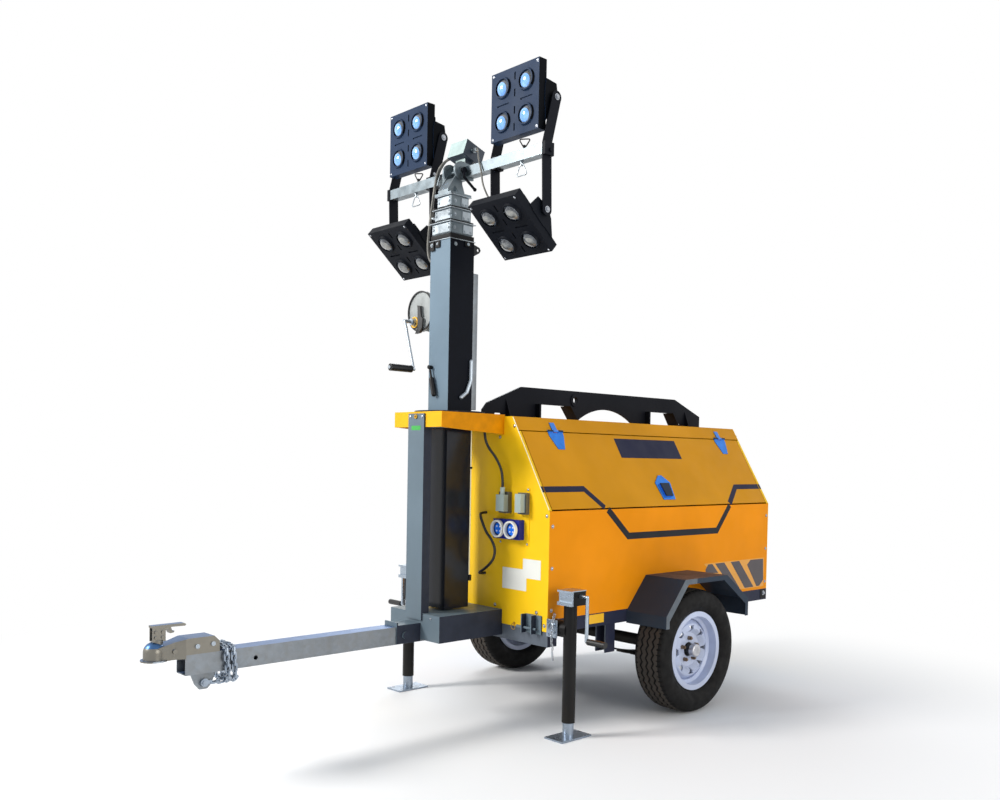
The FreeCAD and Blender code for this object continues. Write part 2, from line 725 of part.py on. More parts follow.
# Canopy: lower side sheets, front and rear sheets, roof with its sloping shoulders
floor_z = rail_top_z + floor_sheet
slope_y = body_half_width - roof_half_width
slope_z = roof_z - knee_z
slope_length = sqrt(slope_y ** 2 + slope_z ** 2)
along_y = slope_y / slope_length
along_z = -slope_z / slope_length
inward_y = -slope_z / slope_length
inward_z = -slope_y / slope_length


def on_slope(distance, depth):
    y = roof_half_width + along_y * distance + inward_y * depth
    z = roof_z + along_z * distance + inward_z * depth
    return (y, z)


outline_half = [(body_half_width, floor_z), (body_half_width, knee_z), (roof_half_width, roof_z)]
front_loop = [(-body_half_width, front_sheet_bottom_z), (body_half_width, front_sheet_bottom_z),
              (body_half_width, knee_z), (roof_half_width, roof_z),
              (-roof_half_width, roof_z), (-body_half_width, knee_z)]
canopy_front_x = body_front_x
front_sheet_x = canopy_front_x + sheet
front = slab_x(front_loop, canopy_front_x, front_sheet_x)
front = front.cut(block(canopy_front_x, front_sheet_x, -base_box_half_width, base_box_half_width,
                        front_sheet_bottom_z, base_box_top_z))
collar_cut = block(canopy_front_x, front_sheet_x, -collar_half_width, collar_half_width,
                   collar_bottom_rear_z, collar_top_z)
front = front.cut(collar_cut.cut(block(canopy_front_x, front_sheet_x, -collar_inner, collar_inner,
                                       collar_bottom_rear_z - 10, collar_top_z - collar_wall)))
rear_loop = [(-body_half_width, floor_z), (body_half_width, floor_z), (body_half_width, knee_z),
             (roof_half_width, roof_z), (-roof_half_width, roof_z), (-body_half_width, knee_z)]
rear = slab_x(rear_loop, body_rear_x, body_rear_x + sheet)

side_front_x = canopy_front_x
side_rear_x = body_rear_x + sheet
fender_half = 10
side_sheet = block(side_rear_x, side_front_x, body_half_width - sheet, body_half_width, floor_z, knee_z)
gutter = joined(
    block(side_rear_x + gutter_end, side_front_x - gutter_end, body_half_width - gutter_width, body_half_width,
          knee_z - sheet, knee_z),
    block(side_rear_x + gutter_end, side_front_x - gutter_end, body_half_width - gutter_width,
          body_half_width - gutter_width + sheet, knee_z - 20, knee_z),
)
keep_pair("canopy_side", joined(side_sheet, gutter))

seam_distance = slope_length * door_top_share
roof_outer = [(-roof_half_width, roof_z), (roof_half_width, roof_z), on_slope(seam_distance - door_seam_gap / 2, 0),
              on_slope(seam_distance - door_seam_gap / 2, sheet), on_slope(2, sheet)]
right_points = [(-y, z) for y, z in reversed(roof_outer[2:])]
roof_loop = [(-roof_half_width, roof_z), (roof_half_width, roof_z)] + roof_outer[2:4]
roof_inner_y = roof_half_width - sheet * slope_z / slope_length * 0.6
roof_loop = roof_loop + [(roof_inner_y, roof_z - sheet), (-roof_inner_y, roof_z - sheet)]
roof_loop = roof_loop + [(-y, z) for y, z in reversed(roof_outer[2:4])]
roof = slab_x(roof_loop, side_rear_x, side_front_x)
keep("canopy_roof", roof)

# Side doors on the slopes, hinged at the seam under the roof edge
door_front_x = side_front_x - door_end_margin
door_rear_x = side_rear_x + door_end_margin
door_bottom = slope_length - moving_gap - 4
jamb_loop = [on_slope(seam_distance + door_seam_gap / 2, 0), on_slope(slope_length - 2, 0),
             on_slope(slope_length - 2, sheet), on_slope(seam_distance + door_seam_gap / 2, sheet)]
rebate_loop = [on_slope(seam_distance + door_seam_gap / 2, sheet + moving_gap),
               on_slope(slope_length - 12, sheet + moving_gap),
               on_slope(slope_length - 12, 2 * sheet + moving_gap),
               on_slope(seam_distance + door_seam_gap / 2, 2 * sheet + moving_gap)]
web_loop = [on_slope(seam_distance + door_seam_gap / 2, 0), on_slope(slope_length - 12, 0),
            on_slope(slope_length - 12, 2 * sheet + moving_gap),
            on_slope(seam_distance + door_seam_gap / 2, 2 * sheet + moving_gap)]


def jamb(x_wall, x_edge, direction):
    flush = slab_x(jamb_loop, min(x_wall, x_edge), max(x_wall, x_edge))
    inner_edge = x_edge + direction * jamb_depth
    rebate = slab_x(rebate_loop, min(x_wall, inner_edge), max(x_wall, inner_edge))
    web = slab_x(web_loop, min(x_wall, x_wall + direction * sheet), max(x_wall, x_wall + direction * sheet))
    return joined(flush, rebate, web)


front_jamb = jamb(side_front_x, door_front_x + moving_gap, -1)
rear_jamb = jamb(side_rear_x, door_rear_x - moving_gap, 1)
front = joined(front, front_jamb, mirror_y(front_jamb))
rear = joined(rear, rear_jamb, mirror_y(rear_jamb))
keep("canopy_front", front)
keep("canopy_rear", rear)
door_loop = [on_slope(seam_distance + door_seam_gap / 2, 0), on_slope(door_bottom, 0),
             on_slope(door_bottom, sheet), on_slope(seam_distance + door_seam_gap / 2, sheet)]
door = slab_x(door_loop, door_rear_x, door_front_x)
hinge_front_x = 602.0
hinge_rear_x = -768.0
strap_width = 100.0
strap_thickness = 4.0
pin_radius = 6.0
strap_taper = slope_length * 0.2
strap_tip = slope_length * 0.35


def strap_trim(centre_x, side):
    tip_half = strap_width * 0.22
    corner = (centre_x + side * strap_width / 2, strap_taper)
    far = (centre_x + side * strap_width / 2, strap_tip + 1)
    tip = (centre_x + side * tip_half, strap_tip + 1)
    points = []
    for px, distance in (corner, far, tip):
        y, z = on_slope(distance, 1)
        points.append(vec(px, y, z))
    wire = Part.makePolygon(points + points[:1])
    return Part.Face(wire).extrude(vec(0, -inward_y * 20, -inward_z * 20))


hinge_pin = on_slope(seam_distance, -pin_radius - 1)
hinge_parts = []
leaf_parts = []
for x in (hinge_front_x, hinge_rear_x):
    strap = slab_x([on_slope(seam_distance + 8, 0), on_slope(seam_distance + 8, -strap_thickness),
                    on_slope(strap_tip, -strap_thickness), on_slope(strap_tip, 0)],
                   x - strap_width / 2, x + strap_width / 2)
    knuckle = rod(vec(x - strap_width / 2, hinge_pin[0], hinge_pin[1]),
                  vec(x - strap_width / 6, hinge_pin[0], hinge_pin[1]), pin_radius)
    knuckle_two = rod(vec(x + strap_width / 6, hinge_pin[0], hinge_pin[1]),
                      vec(x + strap_width / 2, hinge_pin[0], hinge_pin[1]), pin_radius)
    web_low = slab_x([on_slope(seam_distance, -2), on_slope(seam_distance, -pin_radius - 1),
                      on_slope(seam_distance + 8, -strap_thickness), on_slope(seam_distance + 8, 0),
                      on_slope(seam_distance + 4, 0)], x - strap_width / 2, x - strap_width / 6)
    web_high = slab_x([on_slope(seam_distance, -2), on_slope(seam_distance, -pin_radius - 1),
                       on_slope(seam_distance + 8, -strap_thickness), on_slope(seam_distance + 8, 0),
                       on_slope(seam_distance + 4, 0)], x + strap_width / 6, x + strap_width / 2)
    strap = strap.cut(strap_trim(x, -1)).cut(strap_trim(x, 1))
    hinge_parts.append(joined(strap, knuckle, knuckle_two, web_low, web_high))
    middle = rod(vec(x - strap_width / 6 + running_gap, hinge_pin[0], hinge_pin[1]),
                 vec(x + strap_width / 6 - running_gap, hinge_pin[0], hinge_pin[1]), pin_radius)
    roof_leaf = slab_x([on_slope(slope_length * 0.055, 0), on_slope(slope_length * 0.055, -strap_thickness),
                        on_slope(seam_distance, -pin_radius - 1), on_slope(seam_distance - 4, 0)],
                       x - strap_width / 6 + running_gap, x + strap_width / 6 - running_gap)
    leaf_parts.append(joined(middle, roof_leaf))
door = joined(door, *hinge_parts)
latch_x_centre = -62.0
latch_half_width = 62.0
latch_top = slope_length * 0.635
latch_bottom = slope_length * 0.915
latch_plate = 5.0


def on_door(points, depth_low, depth_high):
    corners = []
    for px, distance in points:
        y, z = on_slope(distance, depth_low)
        corners.append(vec(px, y, z))
    lift = depth_low - depth_high
    wire = Part.makePolygon(corners + corners[:1])
    return Part.Face(wire).extrude(vec(0, -inward_y * lift, -inward_z * lift))


left_x = latch_x_centre - latch_half_width
right_x = latch_x_centre + latch_half_width
shoulder = latch_top + (latch_bottom - latch_top) * 0.3
door_latch = on_door([(latch_x_centre - 14, latch_top), (latch_x_centre + 14, latch_top), (right_x, shoulder),
                      (right_x - 14, latch_bottom), (left_x + 14, latch_bottom), (left_x, shoulder)],
                     0, -latch_plate)
paddle = on_door([(left_x + 26, shoulder + 8), (right_x - 26, shoulder + 8),
                  (right_x - 34, latch_bottom - 16), (left_x + 34, latch_bottom - 16)], -latch_plate, -16)
door = joined(door, door_latch, paddle)
keep_pair("door", door)
keep("roof_hinges", *leaf_parts, *[mirror_y(part) for part in leaf_parts])

# Engine block and fuel tank on the floor
engine_front_x = tank_front_x - tank_length - tank_gap
engine_rear_x = engine_front_x - engine_length
engine = block(engine_rear_x, engine_front_x, -engine_width / 2, engine_width / 2, floor_z, floor_z + engine_height)
keep("engine_block", engine)
tank = block(tank_front_x - tank_length, tank_front_x, -tank_width / 2, tank_width / 2,
             floor_z, floor_z + tank_height)
keep("fuel_tank", tank)

# Lifting beam: a tall plate along the roof with an arch, two windows, stiffeners and gussets
beam_length = beam_front_x - beam_rear_x
beam_half = beam_thickness / 2


def on_beam(share, height_share):
    return (beam_rear_x + beam_length * share, roof_z + beam_height * height_share)


def beam_slab(points, half_width):
    return slab_y([on_beam(share, height) for share, height in points], -half_width, half_width)


beam = beam_slab([(1.0, 0), (1.0, 0.22), (0.983, 0.4345), (0.854, 0.976), (0.1406, 1.0), (0.0, 0.446), (0.0, 0)], beam_half)
arch_half = beam_length * 0.135
arch_height = beam_height * 0.458
arch_radius = (arch_half ** 2 + arch_height ** 2) / (2 * arch_height)
arch_x = beam_rear_x + beam_length * 0.49
arch_z = roof_z + arch_height - arch_radius
beam = beam.cut(rod(vec(arch_x, -beam_thickness, arch_z), vec(arch_x, beam_thickness, arch_z), arch_radius))
# Each cut-out by share of the length and share of the height
for cut_out in ([(0.7908, -0.1), (0.7908, 0.488), (0.6687, 0.488), (0.6316, 0), (0.6316, -0.1)],
                [(0.2902, -0.1), (0.2902, 0.5), (0.1721, 0.5), (0.1372, 0), (0.1372, -0.1)],
                [(0.966, -0.1), (0.955, 0.15), (0.93, 0.15), (0.921, -0.1)],
                [(0.902, -0.1), (0.902, 0.12), (0.895, 0.12), (0.888, -0.1)],
                [(0.128, -0.1), (0.122, 0.15), (0.1, 0.15), (0.094, -0.1)]):
    beam = beam.cut(beam_slab(cut_out, beam_thickness))
for post_share, height in ((0.7908, 0.488), (0.2902, 0.5)):
    beam = joined(beam, beam_slab([(post_share, 0), (post_share, height), (post_share + 0.0067, height),
                                   (post_share + 0.0067, 0)], beam_foot_half))
for top_share, foot_share, height in ((0.6687, 0.6316, 0.488), (0.1721, 0.1372, 0.5)):
    beam = joined(beam, beam_slab([(top_share, height), (foot_share, 0), (foot_share - 0.005, 0),
                                   (top_share - 0.005, height)], beam_foot_half))
for gusset_share in (0.912, 0.083):
    x = beam_rear_x + beam_length * gusset_share
    beam = joined(beam, slab_x([(-beam_foot_half - 6, roof_z), (beam_foot_half + 6, roof_z), (beam_half, roof_z + beam_height * 0.6),
                                (-beam_half, roof_z + beam_height * 0.6)], x - 4, x + 4))
beam_hole_z = roof_z + beam_hole_height
ring = rod(vec(beam_hole_x, -beam_thickness, beam_hole_z), vec(beam_hole_x, beam_thickness, beam_hole_z),
           beam_hole_ring_radius)
hole = rod(vec(beam_hole_x, -beam_thickness, beam_hole_z), vec(beam_hole_x, beam_thickness, beam_hole_z),
           beam_hole_radius)
beam = joined(beam, ring).cut(hole)
keep("lifting_beam", beam)

# Fenders over the wheels, a folded sheet with a rolled outer lip
outer_path = [(fender_front_x, fender_bottom_z), (fender_front_x, fender_bottom_z + 60), (145, fender_top_z),
              (-205, fender_top_z), (fender_rear_x, fender_bottom_z + 90), (fender_rear_x, fender_bottom_z)]
outer_loop = outer_path


def inset(points, amount):
    centre_x = (fender_front_x + fender_rear_x) / 2
    result = []
    for x, z in points:
        moved_x = x - amount if x > centre_x else x + amount
        moved_z = z if z < fender_bottom_z + 1 else z - amount
        result.append((moved_x, moved_z))
    return result


fender = slab_y(outer_loop, body_half_width, fender_outer_y)
fender = fender.cut(slab_y(inset(outer_loop, fender_sheet), body_half_width, fender_outer_y - fender_sheet))
lip_hole = slab_y(inset(outer_loop, fender_lip), body_half_width, fender_outer_y + 1)
fender = fender.cut(lip_hole)
keep("fenders", fender, mirror_y(fender))

# Jack legs on swivels at the front corners of the frame
swivel_face_y = body_half_width
swivel_disc_y = swivel_face_y + 18
pin_end_y = jack_y - jack_tube_radius - 8
mount_plate = block(jack_x - 30, body_front_x - 3, swivel_face_y, swivel_face_y + 6,
                    rail_bottom_z, rail_top_z + 5)
swivel_disc = rod(vec(jack_x, swivel_face_y + 6, jack_swivel_z), vec(jack_x, swivel_disc_y, jack_swivel_z),
                  jack_swivel_radius)
swivel_pin = rod(vec(jack_x, swivel_disc_y, jack_swivel_z), vec(jack_x, pin_end_y, jack_swivel_z), jack_pin_radius)
mount = joined(mount_plate, swivel_disc, swivel_pin)
keep("jack_mounts", mount, mirror_y(mount))
tube_top = jack_tube_top_z
stub_start_y = swivel_disc_y + running_gap
jack_tube = joined(
    rod(vec(jack_x, jack_y, jack_tube_bottom_z), vec(jack_x, jack_y, tube_top), jack_tube_radius),
    rod(vec(jack_x, stub_start_y, jack_swivel_z), vec(jack_x, jack_y, jack_swivel_z), jack_stub_radius),
    block(jack_x - jack_box_rear, jack_x + jack_box_front, jack_y - jack_box_half_width,
          jack_y + jack_box_half_width, tube_top, jack_cap_top_z),
)
jack_tube = jack_tube.cut(rod(vec(jack_x, stub_start_y, jack_swivel_z),
                              vec(jack_x, pin_end_y + running_gap, jack_swivel_z),
                              jack_pin_radius + running_gap))
jack_tube = jack_tube.cut(rod(vec(jack_x, jack_y, jack_tube_bottom_z), vec(jack_x, jack_y, tube_top - 12),
                              jack_tube_radius - jack_tube_wall))
keep_pair("jack_tube", jack_tube)
web_x = jack_x + jack_box_front
low_y = jack_y - jack_box_half_width - 2
high_y = jack_y + jack_box_half_width + 2
bracket_low_z = tube_top
bracket_high_z = jack_cap_top_z + 4
jack_bracket = joined(
    block(web_x, web_x + 4, low_y, high_y, bracket_low_z, bracket_high_z),
    block(web_x, web_x + 16, low_y, high_y, bracket_high_z - 9, bracket_high_z),
    block(web_x, web_x + 16, low_y, high_y, bracket_low_z, bracket_low_z + 16),
    block(jack_x - jack_box_rear, web_x, low_y, high_y, jack_cap_top_z, bracket_high_z),
)
box_side_y = jack_y + jack_box_half_width
elbow_y = box_side_y + crank_reach / 2
arm_y = elbow_y
crank_end_y = arm_y + grip_length
crank = joined(
    rod(vec(crank_axis_x, box_side_y, crank_axis_z), vec(crank_axis_x, arm_y, crank_axis_z), crank_radius),
    rod(vec(crank_axis_x, arm_y, crank_axis_z), vec(crank_axis_x, arm_y, crank_low_z), crank_radius),
    rod(vec(crank_axis_x, arm_y, crank_low_z), vec(crank_axis_x, crank_end_y, crank_low_z), crank_radius),
    rod(vec(crank_axis_x, arm_y + 10, crank_low_z), vec(crank_axis_x, crank_end_y, crank_low_z), grip_radius),
    Part.makeSphere(crank_radius, vec(crank_axis_x, arm_y, crank_axis_z)),
    Part.makeSphere(crank_radius, vec(crank_axis_x, arm_y, crank_low_z)),
)
keep_pair("jack_head", jack_bracket, crank)
leg_bottom_z = jack_foot_thickness
leg = joined(
    rod(vec(jack_x, jack_y, leg_bottom_z), vec(jack_x, jack_y, tube_top - 130),
        jack_tube_radius - jack_tube_wall - slide_gap),
    block(jack_x - jack_foot_length / 2, jack_x + jack_foot_length / 2,
          jack_y - jack_foot_width / 2, jack_y + jack_foot_width / 2, 0, jack_foot_thickness),
)
keep_pair("jack_leg", leg)

# Mast: outer tube turning on a foot pivot and in the collar's turntable
mast_half = mast_size / 2
mast_inner = mast_half - mast_wall
stage_halves = [size / 2 for size in stage_sizes]
mast = square_tube(mast_x, 0, mast_size, mast_wall, mast_bottom_z, mast_top_z)
foot = joined(
    block(mast_x - mast_half, mast_x + mast_half, -mast_half, mast_half, mast_bottom_z, mast_bottom_z + 10),
    rod(vec(mast_x, 0, base_box_top_z + running_gap), vec(mast_x, 0, mast_bottom_z), mast_pivot_radius),
)
top_guide = block(mast_x - mast_half, mast_x + mast_half, -mast_half, mast_half, mast_top_z - stage_pad_height,
                  mast_top_z)
guide_hole = stage_halves[0] + slide_gap
top_guide = top_guide.cut(block(mast_x - guide_hole, mast_x + guide_hole, -guide_hole, guide_hole,
                                mast_top_z - stage_pad_height, mast_top_z))
mast_tube = joined(mast, foot, top_guide)
rail_front_x = mast_x - mast_half
mast_rail = block(rail_front_x - rail_depth, rail_front_x, -mast_rail_width / 2, mast_rail_width / 2,
                  mast_bottom_z + 20, mast_top_z - 20)
mast_rail = mast_rail.cut(block(rail_front_x - rail_depth, rail_front_x - 4, -mast_rail_width / 2 + 4,
                                mast_rail_width / 2 - 4, mast_bottom_z + 20, mast_top_z - 20))
mast_tube = joined(mast_tube, mast_rail)

turntable = rod(vec(mast_x, 0, turntable_bottom_z), vec(mast_x, 0, turntable_bottom_z + turntable_thickness),
                turntable_radius)
turntable = turntable.cut(block(mast_x - mast_half, mast_x + mast_half, -mast_half, mast_half,
                                turntable_bottom_z - 1, turntable_bottom_z + turntable_thickness + 1))
near_face_y = mast_half
handle_y = near_face_y + handle_radius - 2
handle_points = [vec(mast_x - 60, handle_y, handle_top_z), vec(mast_x - 59, handle_y, handle_top_z - 89),
                 vec(mast_x - 35, handle_y, handle_top_z - 147), vec(mast_x - 2, handle_y, handle_top_z - 172)]
handle = [Part.makeSphere(handle_radius, handle_points[0])]
for start, end in zip(handle_points, handle_points[1:]):
    handle.append(rod(start, end, handle_radius))
    handle.append(Part.makeSphere(handle_radius, end))
front_face_x = mast_x + mast_half
lever_x = front_face_x + 14
lever_top = vec(lever_x, -48, lever_top_z)
lever_low = vec(lever_x, -14, lever_top_z - 128)
lever_mid = lever_top + (lever_low - lever_top) * 0.45
lever = joined(
    rod(vec(front_face_x, -48, lever_top_z), vec(lever_x + 8, -48, lever_top_z), 9),
    rod(lever_top, lever_mid, 5),
    rod(lever_mid, lever_low, 12),
    Part.makeSphere(12, lever_low),
    Part.makeSphere(12, lever_mid),
)
lug_z = mast_top_z + 5
lug_x = rail_front_x - rail_depth
lug = slab_y([(lug_x + 12, lug_z), (lug_x - 8, lug_z), (lug_x - 50, lug_z - 12), (lug_x - 58, lug_z - 25),
              (lug_x - 50, lug_z - 38), (lug_x - 9, lug_z - 61), (lug_x + 12, lug_z - 66)], 17, 25)
lug = lug.cut(rod(vec(lug_x - 42, 10, lug_z - 25), vec(lug_x - 42, 30, lug_z - 25), 8))
mast_tube = joined(mast_tube, *handle, lever, lug)
keep("mast_tube", mast_tube, turntable)

# Telescopic stages, each guided in the one around it
for number, size in enumerate(stage_sizes):
    half_size = size / 2
    inner_half = half_size - stage_wall
    bottom = stage_bottom_z + number * 20
    top = mast_top_z + (number + 1) * stage_pitch + 16
    outer_half = mast_inner if number == 0 else stage_halves[number - 1] - stage_wall
    tube = square_tube(mast_x, 0, size, stage_wall, bottom, top)
    pad_half = outer_half - slide_gap
    low_pad = block(mast_x - pad_half, mast_x + pad_half, -pad_half, pad_half, bottom, bottom + stage_pad_height)
    low_pad = low_pad.cut(block(mast_x - inner_half, mast_x + inner_half, -inner_half, inner_half,
                                bottom, bottom + stage_pad_height))
    pieces = [tube, low_pad]
    band_half = half_size + 4
    band = block(mast_x - band_half, mast_x + band_half, -band_half, band_half, top - stage_band_height, top)
    if number < 2:
        hole_half = stage_halves[number + 1] + slide_gap
        guide = block(mast_x - half_size, mast_x + half_size, -half_size, half_size, top - stage_pad_height, top)
        hole_box = block(mast_x - hole_half, mast_x + hole_half, -hole_half, hole_half,
                         top - stage_pad_height, top)
        band = band.cut(block(mast_x - inner_half, mast_x + inner_half, -inner_half, inner_half,
                              top - stage_band_height, top))
        pieces.append(guide.cut(hole_box))
    pieces.append(band)
    keep("mast_stage_%d" % (number + 1), joined(*pieces))

stage_top_z = mast_top_z + 3 * stage_pitch + 16

# Head on the last stage: a fork that carries the tilting bar
plate_top_z = stage_top_z + 10
fork_inner = fork_half - fork_wall
fork_cheek = [(mast_x - 38, plate_top_z), (mast_x + 62, plate_top_z), (mast_x + 62, plate_top_z + 14),
              (tilt_x + 18, bar_z - 8), (tilt_x - 3, bar_z - 15), (tilt_x - 3, bar_z - 40), (mast_x - 38, plate_top_z + 12)]
head = block(mast_x - 60, mast_x + 64, -60, 60, stage_top_z, plate_top_z)
for side in (-1, 1):
    low = min(side * fork_half, side * fork_inner)
    head = joined(head, slab_y(fork_cheek, low, low + fork_wall),
                  rod(vec(tilt_x, low, bar_z), vec(tilt_x, low + fork_wall, bar_z), fork_boss_radius))
front_web = slab_y([(mast_x + 54, plate_top_z), (mast_x + 62, plate_top_z), (mast_x + 62, plate_top_z + 14),
                    (tilt_x + 32, bar_z - 36), (tilt_x + 24, bar_z - 36), (mast_x + 54, plate_top_z + 12)],
                   -fork_inner, fork_inner)
flare = slab_x([(-60, plate_top_z), (60, plate_top_z), (fork_half, plate_top_z + 34), (-fork_half, plate_top_z + 34)],
               mast_x + 18, mast_x + 24)
flare = flare.cut(block(mast_x, mast_x + 60, -fork_inner, fork_inner, plate_top_z, plate_top_z + 40))
head = joined(head, front_web, flare)
head = head.cut(rod(vec(tilt_x, -fork_half - 1, bar_z), vec(tilt_x, fork_half + 1, bar_z), tilt_bolt_radius + running_gap))
keep("mast_head", head)

# Light bar with two clamp discs and the bolt through the fork
bar_half = bar_size / 2
bar = block(bar_x - bar_half, bar_x + bar_half, -bar_half_length, bar_half_length, bar_z - bar_half, bar_z + bar_half)
bar_bore = bar_half - bar_wall
bar = bar.cut(block(bar_x - bar_bore, bar_x + bar_bore, -bar_half_length, bar_half_length,
                    bar_z - bar_bore, bar_z + bar_bore))
disc_inner = fork_half + running_gap
disc_outer = disc_inner + clamp_disc_thickness
bore_space = block(bar_x - bar_bore, bar_x + bar_bore, -disc_outer - 1, disc_outer + 1, bar_z - bar_bore, bar_z + bar_bore)
for side in (-1, 1):
    low = min(side * disc_inner, side * disc_outer)
    disc = rod(vec(tilt_x, low, bar_z), vec(tilt_x, low + clamp_disc_thickness, bar_z), clamp_disc_radius)
    web = slab_y([(bar_x - bar_half, bar_z - bar_half - 10), (tilt_x, bar_z - clamp_disc_radius),
                  (tilt_x, bar_z + clamp_disc_radius), (bar_x - bar_half, bar_z + bar_half + 10)],
                 low, low + clamp_disc_thickness)
    bar = joined(bar, joined(disc, web).cut(bore_space))
bolt = joined(
    rod(vec(tilt_x, -disc_outer - 14, bar_z), vec(tilt_x, disc_outer + 14, bar_z), tilt_bolt_radius),
    rod(vec(tilt_x, disc_outer, bar_z), vec(tilt_x, disc_outer + 8, bar_z), 19),
    rod(vec(tilt_x, -disc_outer - 12, bar_z), vec(tilt_x, -disc_outer, bar_z), 19),
)
bar = joined(bar, bolt)
keep("light_bar", bar)

# Junction box, tipped back on a folded foot behind the fork
box_centre = vec(bar_x - 14, 0, bar_z + 95)
junction = block(bar_x - 72, bar_x + 44, -59, 59, bar_z + 57, bar_z + 133)
junction = turned(junction, box_centre, vec(0, 1, 0), -box_tip)
foot = block(bar_x - 24, bar_x + 20, -34, 34, bar_z + bar_half, bar_z + 84)
foot = foot.cut(block(bar_x - 25, bar_x + 21, -30, 30, bar_z + bar_half + 4, bar_z + 53))
junction = joined(junction, foot)
for side in (-1, 1):
    low = min(side * 59, side * 71)
    stub = rod(vec(bar_x - 4, low, bar_z + 100), vec(bar_x - 4, low + 12, bar_z + 100), 10)
    junction = joined(junction, stub)
keep("junction_box", junction)

# Yokes: flat arms from the bar to the lamp pivots, inner ones on a folded foot
yoke_end_y = bar_half_length
arm_half = yoke_width / 2
arm_foot = 34.0
yokes = []
for row, pivot in (("upper", lamp_upper_pivot), ("lower", lamp_lower_pivot)):
    side = 1 if row == "upper" else -1
    root_z = bar_z + side * bar_half
    pivot_x, pivot_z = pivot
    inner = slab_y([(bar_x - arm_half, root_z), (bar_x + arm_half, root_z), (pivot_x + arm_half, pivot_z),
                    (pivot_x - arm_half, pivot_z)], yoke_inner_y, yoke_inner_y + yoke_thickness)
    inner_end = rod(vec(pivot_x, yoke_inner_y, pivot_z), vec(pivot_x, yoke_inner_y + yoke_thickness, pivot_z), arm_half)
    foot_low = min(root_z, root_z + side * yoke_thickness)
    foot = block(bar_x - arm_half + 3, bar_x + arm_half - 3, yoke_inner_y, yoke_inner_y + arm_foot,
                 foot_low, foot_low + yoke_thickness)
    yokes.append(joined(inner, inner_end, foot))
    start_z = bar_z + side * running_gap
    outer = slab_y([(bar_x - arm_half, start_z), (bar_x + arm_half, start_z), (bar_x + arm_half, root_z),
                    (pivot_x + arm_half, pivot_z), (pivot_x - arm_half, pivot_z), (bar_x - arm_half, root_z)],
                   yoke_end_y, yoke_end_y + yoke_thickness)
    outer_end = rod(vec(pivot_x, yoke_end_y, pivot_z), vec(pivot_x, yoke_end_y + yoke_thickness, pivot_z), arm_half)
    outer_arm = joined(outer, outer_end)
    if row == "upper":
        cap_y = yoke_end_y + yoke_thickness
        cap_half = bar_half + bar_wall
        end_cap = block(bar_x - cap_half, bar_x + cap_half, cap_y, cap_y + end_cap_thickness,
                        bar_z - cap_half, bar_z + cap_half)
        cap_bolt = rod(vec(bar_x - 6, cap_y, bar_z - 6), vec(bar_x - 6, cap_y + end_cap_thickness + 8, bar_z - 6), 9)
        outer_arm = joined(outer_arm, end_cap, cap_bolt)
    yokes.append(outer_arm)
yokes = yokes + [mirror_y(yoke) for yoke in yokes]
lever_y = disc_outer + 15
clamp_lever = joined(
    rod(vec(tilt_x, disc_outer + 8 + running_gap, bar_z), vec(tilt_x, lever_y + 6, bar_z), 13),
    rod(vec(tilt_x, lever_y, bar_z), vec(tilt_x, lever_y, bar_z - 32), 6.5),
    Part.makeSphere(6.5, vec(tilt_x, lever_y, bar_z - 32)),
    rod(vec(tilt_x, lever_y, bar_z - 32), vec(tilt_x - 68, lever_y, bar_z - 78), 6.5),
    Part.makeSphere(9, vec(tilt_x - 68, lever_y, bar_z - 78)),
)
clamp_lever = clamp_lever.cut(rod(vec(tilt_x, 0, bar_z), vec(tilt_x, disc_outer + 14 + running_gap, bar_z),
                                  tilt_bolt_radius + running_gap))
keep("lamp_yokes", *yokes, clamp_lever)

# Lamps: a box with four recessed lenses, cooling fins behind and two pivot brackets
lamp_half = lamp_size / 2
lamp_low_y = lamp_y - lamp_half
lamp_high_y = lamp_y + lamp_half
inner_arm_y = yoke_inner_y + yoke_thickness + running_gap
outer_arm_y = yoke_end_y - running_gap
fin_count = 11
fin_pitch = 24.0
fin_thickness = 3.0
fin_depth = 30.0
bracket_half = 52.0
bracket_top = 72.0
bracket_drop = 112.0


